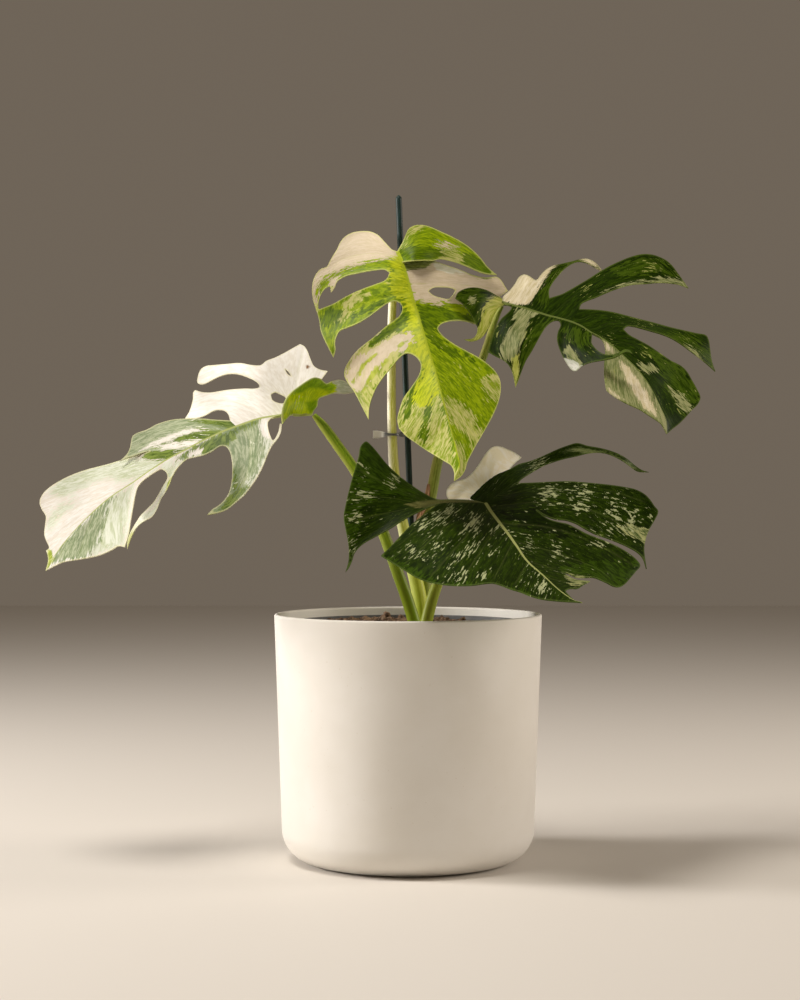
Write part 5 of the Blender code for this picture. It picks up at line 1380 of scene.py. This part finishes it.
def stake_form():
    """A tree that makes a ringed rod with a rounded end of a straight path."""
    kinds = {"Sides": "Int", "Radius": "Float", "Ring Spacing": "Float", "Ring Depth": "Float"}
    tree, given = new_form("ringed_rod", kinds)
    path = add_node(tree, "GeometryNodeMeshToCurve", {"Mesh": given["Geometry"]})
    step = add_node(tree, "ShaderNodeMath", {0: given["Ring Spacing"], 1: 0.5}, operation="MULTIPLY")
    inputs = {"Curve": path, "Length": step}
    path = add_node(tree, "GeometryNodeResampleCurve", inputs, mode="LENGTH")
    number = add_node(tree, "GeometryNodeSplineParameter", take="Index")
    pressed = add_node(tree, "ShaderNodeMath", {0: number, 1: 2.0}, operation="MODULO")
    depth = {0: pressed, 1: given["Ring Depth"]}
    depth = add_node(tree, "ShaderNodeMath", depth, operation="MULTIPLY")
    radius = {0: given["Radius"], 1: depth}
    radius = add_node(tree, "ShaderNodeMath", radius, operation="SUBTRACT")
    whole = add_node(tree, "GeometryNodeSplineLength")
    so_far = add_node(tree, "GeometryNodeSplineParameter", take="Length")
    left = add_node(tree, "ShaderNodeMath", {0: whole, 1: so_far}, operation="SUBTRACT")
    turn = {0: left, 1: 0.0, 2: given["Radius"], 3: NOSE_SHARE, 4: math.pi / 2}
    turn = add_node(tree, "ShaderNodeMapRange", turn)
    rounding = add_node(tree, "ShaderNodeMath", {0: turn}, operation="SINE")
    radius = add_node(tree, "ShaderNodeMath", {0: radius, 1: rounding}, operation="MULTIPLY")
    return end_form(tree, given, swept(tree, given, path, radius))


def vinyl_coated_steel():
    """Dark green plastic coat: a low, worn sheen, with scuffs drawn out along the rod."""
    material, tree, shader = new_material("vinyl_coated_steel", roughness=0.5, specular=0.3, ior=1.53)
    worn = grains(tree, (2, 2, 17), detail=3.0)
    skin = lay_over(tree, colour("13241f"), colour("22403e"), worn, start=0.35, end=0.75)
    finish(tree, shader, skin, worn, strength=0.2, depth=0.3 * MM)
    return material


stake_down = (STAKE_GROUND - STAKE_TOP).normalized()
stake_foot = STAKE_GROUND + stake_down * (STAKE_IN_SOIL / -stake_down.z)
stake_path = chain("stake_path", [(stake_foot, 0), (STAKE_TOP, 0)])
stake_coat = vinyl_coated_steel()
stake_sizes = {**STAKE_SIZES, "Material": stake_coat}
stake_mesh = run_form("stake_rod", stake_form(), stake_path, stake_sizes, STALK_CREASE)
add_piece("stake_rod", stake_mesh, stake_coat, "stake", "stake")
print("stake faces:", len(stake_mesh.polygons))

# %% [markdown]
# ## The tie and the dried sheath
#
# Both are thin sheets: a grey ribbon of soft plastic that holds the cream stalk to the stake, and
# the papery sheath that the newest leaf left round the stalk of its neighbour. A sheet is easiest as
# one surface of rows, which follow the drawing, with a Solidify modifier that gives it its
# thickness. So the rows stay easy to change, and both faces stay parallel.

# %% Thin sheets
def sheet(name, rows, thickness, offset, material, slot, node):
    """A thin closed sheet through rows of places, each row as long as the others."""
    width = len(rows[0])
    faces = [
        (i * width + k, (i + 1) * width + k, (i + 1) * width + k + 1, i * width + k + 1)
        for i in range(len(rows) - 1)
        for k in range(width - 1)
    ]
    mesh = mesh_of(name, [place for row in rows for place in row], faces)
    piece = add_piece(name, mesh, material, slot, node)
    wall = piece.modifiers.new("thickness", "SOLIDIFY")
    wall.thickness = thickness
    wall.offset = offset


print("tool is ready: sheet")

# %% The grey ribbon
TIE_Y = 434.5
TIE_STEP_PX = 0.8
TIE_THICKNESS = 0.9 * MM
TIE_HIGHLIGHT_X = (-0.0215, -0.0185)
TIE_COLUMNS = 7
TIE = (
    "373,9,6.4 378,9,6.4 382,8.2,5 384.8,5.6,4 387.4,3,2.6 391.5,2.2,1.9 395.6,2.7,2 398.6,5.4,2.8 "
    "401.2,10,4.2 403.8,13.4,4.4 407.6,14.4,3.2 412,14.8,0.9"
)


def tie_rows():
    """Rows of places across the ribbon, which is drawn as x,depth,height in its level."""
    rows = []
    for x, depth, height in smooth_line(points_in(TIE.split()), TIE_STEP_PX):
        middle = at(x, TIE_Y, depth)
        shares = np.linspace(-0.5, 0.5, TIE_COLUMNS)
        rows.append([middle + Vector((0, 0, float(share * height) * MM)) for share in shares])
    return rows


def soft_pvc_ribbon():
    """Grey soft plastic with a level grain, which shines where it bends; one end has a painted white
    highlight.
    """
    material, tree, shader = new_material("soft_pvc_ribbon", roughness=0.34, specular=0.6, ior=1.53)
    grain = grains(tree, (11, 11, 0.67))
    skin = lay_over(tree, colour("4a4b49"), colour("7d7c78"), grain, start=0.3, end=0.75)
    place = add_node(tree, "ShaderNodeTexCoord", take="Object")
    x = add_node(tree, "ShaderNodeSeparateXYZ", {0: place})
    # A painted highlight whitens the ribbon's left end
    skin = lay_over(tree, skin, colour("e8e3d8"), x, *TIE_HIGHLIGHT_X, (0.9, 0.0))
    finish(tree, shader, skin, grain, strength=0.4, depth=0.3 * MM)
    return material


sheet("tie_ribbon", tie_rows(), TIE_THICKNESS, 0, soft_pvc_ribbon(), "tie", "tie")
print("tie rows:", len(tie_rows()))

# %% The papery sheath
SHEATH = "484,14,0.5 492,34,0.6 500,40,1.2 508,34,2.4 515,22,3.8 522,7,5.4"
SHEATH_STEP_PX = 1.2
SHEATH_MIDDLE = 216
SHEATH_COLUMNS = 15
SHEATH_THICKNESS = 0.6 * MM
CREASE_DEPTH = 0.25
CREASES_PER_TURN = 14
CREASE_SLANT = 0.3


def sheath_rows():
    """Rows round the left side of the right stalk, drawn as y,half width in degrees,stand-off."""
    stalk = np.array(points_in(STALKS["petiole_right"].split()))[::-1]
    rows = []
    for y, half_width, stand_off in smooth_line(points_in(SHEATH.split()), SHEATH_STEP_PX):
        x, depth, diameter = (np.interp(y, stalk[:, 1], stalk[:, i]) for i in (0, 2, 3))
        row = []
        first, last = SHEATH_MIDDLE - half_width, SHEATH_MIDDLE + half_width
        for angle in np.linspace(first, last, SHEATH_COLUMNS):
            wave = math.sin(math.radians(angle * CREASES_PER_TURN) + y * CREASE_SLANT)
            crease = CREASE_DEPTH * wave * min(stand_off, 1)
            radius = (diameter / 2 + stand_off + crease) * MM
            a = math.radians(angle)
            row.append(at(x, y, depth) + Vector((radius * math.cos(a), radius * math.sin(a), 0)))
        rows.append(row)
    return rows


def dried_leaf_sheath():
    """Dry brown fibres like rough paper: dull, with fine lines along the stalk."""
    material, tree, shader = new_material("dried_leaf_sheath", roughness=0.75, specular=0.25, ior=1.5)
    fibres = grains(tree, (1.1, 1.1, 14), detail=3.0)
    skin = lay_over(tree, colour("86583c"), colour("c89e7a"), fibres, start=0.3, end=0.7)
    finish(tree, shader, skin, fibres, strength=0.6, depth=0.5 * MM)
    return material


sheath_name = "dried_sheath_paper"
sheet(sheath_name, sheath_rows(), SHEATH_THICKNESS, 1, dried_leaf_sheath(), "dried_sheath", "dried_sheath")
print("sheath rows:", len(sheath_rows()))

# %% [markdown]
# ## The pots
#
# Both pots are round, so each is its profile turned about an axis. The cover pot is cast stoneware
# under a matt glaze, with a thin wall, a big round corner at its foot and a small round lip. The
# nursery pot is thin moulded plastic with a stiff band at its rim. The Screw modifier could turn
# them too. A tree is used, so that the pots and the stalks are made in one way: it sweeps the
# profile round a big circle and then merges the points that meet on the axis. Each profile starts
# and ends on the axis, so the turned wall is closed.

# %% The tree that turns a profile
TURN_STEPS = 160
SWEEP_RADIUS = 1.0
MERGE_DISTANCE = 0.001 * MM
POT_CREASE = 40


def turning_form():
    """A tree that turns a profile, with x outwards and y downwards, about the upright axis."""
    tree, given = new_form("turned_profile", {"Turn Steps": "Int", "Sweep Radius": "Float"})
    profile = add_node(tree, "GeometryNodeMeshToCurve", {"Mesh": given["Geometry"]})
    inward = add_node(tree, "ShaderNodeMath", {0: given["Sweep Radius"], 1: -1.0}, operation="MULTIPLY")
    inward = add_node(tree, "ShaderNodeCombineXYZ", {"X": inward})
    profile = {"Geometry": profile, "Offset": inward}
    profile = add_node(tree, "GeometryNodeSetPosition", profile)
    inputs = {"Resolution": given["Turn Steps"], "Radius": given["Sweep Radius"]}
    circle = add_node(tree, "GeometryNodeCurvePrimitiveCircle", inputs)
    circle = add_node(tree, "GeometryNodeSetCurveNormal", {"Curve": circle}, mode="Z_UP")
    inputs = {"Curve": circle, "Profile Curve": profile, "Scale": 1.0}
    wall = add_node(tree, "GeometryNodeCurveToMesh", inputs)
    inputs = {"Geometry": wall, "Distance": MERGE_DISTANCE}
    wall = add_node(tree, "GeometryNodeMergeByDistance", inputs)
    return end_form(tree, given, wall)


def turned(name, profile, material, slot):
    """A pot turned from (radius, height) points, which replaces its CAD node."""
    stations = [((radius, -height, 0), 0) for radius, height in profile]
    sizes = {"Turn Steps": TURN_STEPS, "Sweep Radius": SWEEP_RADIUS, "Material": material}
    base = chain(name + "_profile", stations)
    mesh = run_form(name, turning_tree, base, sizes, POT_CREASE)
    add_piece(name, mesh, material, slot, slot)
    print(name, "has", len(mesh.polygons), "faces")


turning_tree = turning_form()
print("tree:", turning_tree.name, "with", len(turning_tree.nodes), "nodes")

# %% The cover pot
POT_HEIGHT = 0.202
WALL = 0.0032
FOOT_CORNER = 0.026
WAIST_RADIUS = 0.2075 / 2
RIM_RADIUS = RIM_DIAMETER / 2


def arc(centre, radius, start, end, count):
    """Points on part of a circle, from one angle to another in degrees."""
    angles = np.radians(np.linspace(start, end, count))
    return [(centre[0] + radius * math.cos(a), centre[1] + radius * math.sin(a)) for a in angles]


def straight(start, end, count):
    """Points on the way from start to end, without the ends."""
    shares = np.linspace(0, 1, count + 2)[1:-1]
    return [(start[0] + (end[0] - start[0]) * s, start[1] + (end[1] - start[1]) * s) for s in shares]


def cover_pot_profile():
    """The profile from the middle of the floor up inside, over the lip, and down to the foot's middle."""
    foot = WAIST_RADIUS - FOOT_CORNER
    lip = WALL / 2
    outer_rim = (RIM_RADIUS, POT_HEIGHT - lip)
    outer_waist = (WAIST_RADIUS, FOOT_CORNER)
    inner_waist = (WAIST_RADIUS - WALL, FOOT_CORNER)
    inner_rim = (RIM_RADIUS - WALL, POT_HEIGHT - lip)
    return [
        (0, WALL),
        (foot / 2, WALL),
        *arc((foot, FOOT_CORNER), FOOT_CORNER - WALL, start=-90, end=0, count=12),
        *straight(inner_waist, inner_rim, count=12),
        *arc((RIM_RADIUS - lip, POT_HEIGHT - lip), lip, start=180, end=0, count=13),
        *straight(outer_rim, outer_waist, count=20),
        *arc((foot, FOOT_CORNER), FOOT_CORNER, start=0, end=-90, count=16),
        (foot / 2, 0),
        (0, 0),
    ]


CLOUD_SHARE = 3.0
SHEEN_OF_CLOUDS = {1: 0.3, 2: 0.7, 3: 0.46, 4: 0.56}


def matt_glazed_stoneware():
    """Cream matt glaze: a broad dim sheen, soft clouds of tone, and a few pale brown pinpricks."""
    material, tree, shader = new_material("matt_glazed_stoneware", roughness=0.5, specular=0.4, ior=1.5)
    cloud = grains(tree, (71, 71, 71), detail=3.0)
    grain = grains(tree, (0.7, 0.7, 0.7))
    speck = grains(tree, (2.4, 2.4, 2.4), detail=1.0)
    skin = lay_over(tree, colour("e9e5dd"), colour("efece6"), cloud, start=0.3, end=0.75)
    skin = lay_over(tree, skin, colour("c9bda6"), speck, start=0.74, end=0.8, shares=(0.0, 0.25))
    height = {0: cloud, 1: CLOUD_SHARE, 2: grain}
    height = add_node(tree, "ShaderNodeMath", height, operation="MULTIPLY_ADD")
    sheen = {0: cloud, **SHEEN_OF_CLOUDS}
    sheen = add_node(tree, "ShaderNodeMapRange", sheen, interpolation_type="SMOOTHSTEP")
    finish(tree, shader, skin, height, strength=0.12, depth=0.3 * MM, Roughness=sheen)
    return material


turned("cover_pot_body", cover_pot_profile(), matt_glazed_stoneware(), "cover_pot")
print("points in its profile:", len(cover_pot_profile()))

# %% The nursery pot
NURSERY_RIM_RADIUS = 0.197 / 2
NURSERY_FOOT_RADIUS = 0.154 / 2
NURSERY_RIM_Z = 0.1955
NURSERY_WALL = 0.0014
NURSERY_FLOOR = 0.0035
NURSERY_BAND = 0.012
NURSERY_STEP = 0.0022
INNER_CORNER = (0.004, 0.005)
OUTER_CORNER = (0.003, 0.004)
INNER_BAND_SLOPE = (0.002, 0.001)
OUTER_BAND_SLOPE = 0.001


def nursery_pot_profile():
    """The profile from the middle of the floor up inside, over the lip, and down to the foot's middle."""
    rim, foot, wall, top = NURSERY_RIM_RADIUS, NURSERY_FOOT_RADIUS, NURSERY_WALL, NURSERY_RIM_Z
    half = wall / 2
    return [
        (0, NURSERY_FLOOR + wall),
        (foot - INNER_CORNER[0], NURSERY_FLOOR + wall),
        (foot - wall, NURSERY_FLOOR + INNER_CORNER[1]),
        (rim - NURSERY_STEP - wall, top - NURSERY_BAND - INNER_BAND_SLOPE[0]),
        (rim - wall, top - NURSERY_BAND + INNER_BAND_SLOPE[1]),
        *arc((rim - half, top - half), half, start=180, end=0, count=7),
        (rim, top - NURSERY_BAND),
        (rim - NURSERY_STEP, top - NURSERY_BAND - OUTER_BAND_SLOPE),
        (foot, NURSERY_FLOOR + OUTER_CORNER[1]),
        (foot - OUTER_CORNER[0], NURSERY_FLOOR),
        (0, NURSERY_FLOOR),
    ]


def moulded_polypropylene():
    """Black-grey moulded plastic, dulled by dust and by level scuffs a few millimetres high."""
    material, tree, shader = new_material("moulded_polypropylene", roughness=0.6, specular=0.3, ior=1.49)
    scuffs = grains(tree, (17, 17, 3.3), detail=3.0)
    skin = lay_over(tree, colour("5a5b5c"), colour("7c7b7a"), scuffs, start=0.4, end=0.8)
    finish(tree, shader, skin, scuffs, strength=0.1, depth=0.3 * MM)
    return material


turned("nursery_pot_shell", nursery_pot_profile(), moulded_polypropylene(), "nursery_pot")
print("points in its profile:", len(nursery_pot_profile()))

# %% [markdown]
# ## The soil
#
# Potting mix is peat and bark: a rough brown crust with loose crumbs, and here and there a clod.
# Displacing one surface gives the crust, but never a crumb with a shadow under it. So the crust is a
# disc of rings whose height follows broad swells and finer noise, and a tree scatters lumpy crumbs
# over it, half sunk, each turned and stretched by chance from a fixed seed. The soil lies higher on
# the left, as on the real plant, and the body under the crust fills the nursery pot.

# %% The crust
SOIL_Z = 0.1925
SOIL_SLOPE = 0.012
SOIL_EDGE_GAP = 0.0010
SOIL_FOOT_INSET = 0.0034
SOIL_FOOT_LIFT = 0.0019
SOIL_RADIUS = NURSERY_RIM_RADIUS - NURSERY_STEP - NURSERY_WALL - SOIL_EDGE_GAP
SOIL_FOOT_RADIUS = NURSERY_FOOT_RADIUS - NURSERY_WALL - SOIL_FOOT_INSET
SOIL_FOOT_Z = NURSERY_FLOOR + SOIL_FOOT_LIFT
SOIL_RINGS = 70
SOIL_SECTORS = 220
CRUST_SINK = 0.0004
SWELL_HEIGHT = 0.0012
SWELLS_PER_METRE = 28
SWELL_LAYER = 3.0
CRUMBLE_HEIGHT = 0.0011
CRUMBLES_PER_METRE = 190
CRUMBLE_LAYER = 7.0
CRUMBLE_FRACTAL = (0.8, 2.1, 4)
HEAP_CRUMBLE = 0.8
# Each heap: x, y, radius and height in millimetres
HEAPS = (
    "-18,64,6,5.5 -49,60,6,3 -36,70,5,3 -6,72,5,3 28,62,6,4.5 45,60,5,3.5 "
    "-40,-50,7,3 35,-45,6,3 60,5,6,2.5 -65,-5,5,3 5,-70,6,2.5"
)
HEAP_PLACES = [tuple(length * MM for length in heap) for heap in points_in(HEAPS.split())]


def soil_height(x, y):
    """The crust's height at a place: broad swells, a crumbly finer roughness, and heaps."""
    broad = noise.noise(Vector((x * SWELLS_PER_METRE, y * SWELLS_PER_METRE, SWELL_LAYER)))
    fine = Vector((x * CRUMBLES_PER_METRE, y * CRUMBLES_PER_METRE, CRUMBLE_LAYER))
    fine = noise.fractal(fine, *CRUMBLE_FRACTAL)
    heaps = [
        height * math.exp(-((x - heap_x) ** 2 + (y - heap_y) ** 2) / radius**2) * (1 + HEAP_CRUMBLE * fine)
        for heap_x, heap_y, radius, height in HEAP_PLACES
    ]
    ground = SOIL_Z - CRUST_SINK + SWELL_HEIGHT * broad + CRUMBLE_HEIGHT * fine
    return ground - SOIL_SLOPE * x + max(heaps)


def crust_mesh():
    """Rings of points from the middle to the edge, and one last ring at the foot."""
    places = [(0, 0, soil_height(0, 0))]
    turns = [math.tau * k / SOIL_SECTORS for k in range(SOIL_SECTORS)]
    for i in range(1, SOIL_RINGS + 1):
        radius = SOIL_RADIUS * i / SOIL_RINGS
        flat = [(radius * math.cos(turn), radius * math.sin(turn)) for turn in turns]
        places += [(x, y, soil_height(x, y)) for x, y in flat]
    radius = SOIL_FOOT_RADIUS
    places += [(radius * math.cos(turn), radius * math.sin(turn), SOIL_FOOT_Z) for turn in turns]
    faces = []
    for k in range(SOIL_SECTORS):
        after = (k + 1) % SOIL_SECTORS
        faces.append((0, 1 + k, 1 + after))
        for i in range(SOIL_RINGS):
            inner = 1 + i * SOIL_SECTORS
            outer = inner + SOIL_SECTORS
            faces.append((inner + k, outer + k, outer + after, inner + after))
    foot = 1 + SOIL_RINGS * SOIL_SECTORS
    faces.append(tuple(range(foot, foot + SOIL_SECTORS))[::-1])
    return mesh_of("crust", places, faces)


print("heaps on the crust:", len(HEAP_PLACES))

# %% One crumb, and its size
CRUMB_SIZES = {
    "Crumbs per Square Metre": 39000.0,
    "Smallest Crumb": 0.7 * MM,
    "Largest Crumb": 2.1 * MM,
    "Smallest Clod": 2.6 * MM,
    "Largest Clod": 4.0 * MM,
    "Clod Share": 1 / 10,
    "Reach": SOIL_RADIUS - 4 * MM,
}
CRUMB_SEED = 4
LUMPS = (0.75, 1.15)
STRETCH = ((0.7, 0.7, 0.5), (1.5, 1.2, 0.9))
TILT = ((-0.5, -0.5, 0.0), (0.5, 0.5, math.tau))
# The Random Value node's sockets for each kind: its least, its most, and its output
RANDOM_SOCKETS = {"FLOAT": (2, 3, 1), "FLOAT_VECTOR": (0, 1, 0)}
BOOLEAN_OUTPUT = 3


def by_chance(tree, least, most, seed, kind="FLOAT"):
    """A random number or vector for each point, between least and most."""
    low, high, output = RANDOM_SOCKETS[kind]
    inputs = {low: least, high: most, "Seed": seed}
    return add_node(tree, "FunctionNodeRandomValue", inputs, take=output, data_type=kind)


def one_crumb(tree):
    """A lumpy ball of 28 faces, one metre in radius, to be made small later."""
    ball = add_node(tree, "GeometryNodeMeshUVSphere", {"Segments": 7, "Rings": 4, "Radius": 1.0})
    place = add_node(tree, "GeometryNodeInputPosition")
    lump = by_chance(tree, *LUMPS, CRUMB_SEED)
    place = add_node(tree, "ShaderNodeVectorMath", {0: place, "Scale": lump}, operation="SCALE")
    return add_node(tree, "GeometryNodeSetPosition", {"Geometry": ball, "Position": place})


def crumb_size(tree, given):
    """The size of each crumb, and now and then of a clod."""
    crumb = by_chance(tree, given["Smallest Crumb"], given["Largest Crumb"], CRUMB_SEED + 1)
    clod = by_chance(tree, given["Smallest Clod"], given["Largest Clod"], CRUMB_SEED + 2)
    chance = {"Probability": given["Clod Share"], "Seed": CRUMB_SEED + 3}
    is_clod = add_node(tree, "FunctionNodeRandomValue", chance, take=BOOLEAN_OUTPUT, data_type="BOOLEAN")
    size = {"Switch": is_clod, "False": crumb, "True": clod}
    size = add_node(tree, "GeometryNodeSwitch", size, input_type="FLOAT")
    stretch = by_chance(tree, *STRETCH, CRUMB_SEED + 4, "FLOAT_VECTOR")
    return add_node(tree, "ShaderNodeVectorMath", {0: stretch, "Scale": size}, operation="SCALE")


print("the largest clod is", round(CRUMB_SIZES["Largest Clod"] / MM, 1), "mm in radius, unstretched")

# %% The tree that scatters the crumbs
FACES_UP = 0.5


def soil_form():
    """A tree that scatters crumbs over the top of a crust."""
    tree, given = new_form("scattered_crumbs", {size: "Float" for size in CRUMB_SIZES})
    normal = add_node(tree, "GeometryNodeInputNormal")
    up = add_node(tree, "ShaderNodeSeparateXYZ", {0: normal}, take="Z")
    up = add_node(tree, "ShaderNodeMath", {0: up, 1: FACES_UP}, operation="GREATER_THAN")
    place = add_node(tree, "GeometryNodeInputPosition")
    flat = add_node(tree, "ShaderNodeVectorMath", {0: place, 1: (1, 1, 0)}, operation="MULTIPLY")
    away = add_node(tree, "ShaderNodeVectorMath", {0: flat}, take="Value", operation="LENGTH")
    near = {0: away, 1: given["Reach"]}
    near = add_node(tree, "ShaderNodeMath", near, operation="LESS_THAN")
    top = add_node(tree, "ShaderNodeMath", {0: up, 1: near}, operation="MULTIPLY")
    spread = {
        "Mesh": given["Geometry"],
        "Selection": top,
        "Density": given["Crumbs per Square Metre"],
        "Seed": CRUMB_SEED,
    }
    points = add_node(tree, "GeometryNodeDistributePointsOnFaces", spread)
    turn = by_chance(tree, *TILT, CRUMB_SEED + 5, "FLOAT_VECTOR")
    put = {"Points": points, "Instance": one_crumb(tree), "Rotation": turn}
    put["Scale"] = crumb_size(tree, given)
    crumbs = add_node(tree, "GeometryNodeInstanceOnPoints", put)
    soil = add_node(tree, "GeometryNodeJoinGeometry", {"Geometry": [given["Geometry"], crumbs]})
    return end_form(tree, given, soil)


print("sizes that the tree takes:", list(CRUMB_SIZES))

# %% Peat and bark, and the soil itself
NO_CREASE = 180


def peat_and_bark():
    """Dry brown crumbs without any sheen; fine pale bits of fibre catch the light."""
    material, tree, shader = new_material("peat_and_bark", roughness=0.95, specular=0.15, ior=1.5)
    patches = grains(tree, (11, 11, 11), detail=4.0, roughness=0.65)
    bits = grains(tree, (1.4, 1.4, 1.4), detail=3.0, roughness=0.7)
    skin = lay_over(tree, colour("46352a"), colour("927860"), patches, start=0.38, end=0.66)
    skin = lay_over(tree, skin, colour("c8b49c"), bits, start=0.55, end=0.72, shares=(0.0, 0.7))
    height = add_node(tree, "ShaderNodeMath", {0: patches, 1: bits}, operation="ADD")
    finish(tree, shader, skin, height, strength=0.8, depth=1 * MM)
    return material


soil_stuff = peat_and_bark()
soil_sizes = {**CRUMB_SIZES, "Material": soil_stuff}
soil_mesh = run_form("soil_crust", soil_form(), crust_mesh(), soil_sizes, NO_CREASE)
add_piece("soil_crust", soil_mesh, soil_stuff, "soil", "soil")
print("soil faces:", len(soil_mesh.polygons))

# %% [markdown]
# ## Floor, lights and camera
#
# The plant was seen in soft light that is strongest from the left. An image of a room could light
# it, but three soft discs are plain and easy to move: a key beside the pot, which is low so that the
# pot's left side is brightest, a top light for the blades' upper faces, and a weaker fill. The floor
# is plain and pale. The camera looks level, from where the blades were drawn.

# %% Floor and lights
FLOOR_SIZE = 8


def stage_floor():
    """A plain pale floor, which belongs to the picture and not to the plant."""
    half = FLOOR_SIZE / 2
    corners = [(-half, -half, 0), (half, -half, 0), (half, half, 0), (-half, half, 0)]
    mesh = mesh_of("floor", corners, [(0, 1, 2, 3)])
    floor = bpy.data.objects.new("floor", mesh)
    bpy.context.scene.collection.objects.link(floor)
    material, _, shader = new_material("matt_paper_backdrop", roughness=0.7, specular=0.2, ior=1.5)
    set_inputs(shader, {"Base Color": colour("d8d3cc")})
    mesh.materials.append(material)


def soft_light(name, place, target, size, power, tint):
    """A round area light, size metres across and power watts strong, that looks at a target."""
    light = bpy.data.lights.new(name, "AREA")
    light.shape = "DISK"
    light.size = size
    light.energy = power
    light.color = colour(tint)[:3]
    lamp = bpy.data.objects.new(name, light)
    lamp.location = place
    lamp.rotation_euler = (Vector(target) - Vector(place)).to_track_quat("-Z", "Y").to_euler()
    bpy.context.scene.collection.objects.link(lamp)


stage_floor()
soft_light("key", (-2.05, 0.12, 0.82), (0, 0, 0.2), size=0.6, power=40, tint="fffaf6")
soft_light("top", (-0.6, -0.5, 2.1), (0, 0, 0.3), size=0.8, power=29, tint="fff8ee")
soft_light("fill", (2.0, 0.2, 0.8), (0, 0, 0.25), size=0.9, power=21, tint="fff4e8")
world = bpy.data.worlds.new("studio")
world.use_nodes = True
set_inputs(world.node_tree.nodes["Background"], {"Color": colour("e6d2ba"), "Strength": 0.2})
bpy.context.scene.world = world
bpy.context.scene.view_settings.view_transform = "Standard"
print("lights:", [thing.name for thing in bpy.data.lights])

# %% Camera
SENSOR_MM = 36

camera_data = bpy.data.cameras.new("camera")
camera_data.sensor_fit = "VERTICAL"
camera_data.sensor_height = SENSOR_MM
camera_data.lens = FOCAL_PX * SENSOR_MM / FRAME_HEIGHT_PX
camera = bpy.data.objects.new("camera", camera_data)
camera.location = (VIEW_X, -VIEW_DISTANCE, VIEW_HEIGHT)
camera.rotation_euler = (math.pi / 2, 0, 0)
bpy.context.scene.collection.objects.link(camera)
bpy.context.scene.camera = camera
print("camera lens:", round(camera_data.lens, 1), "mm")
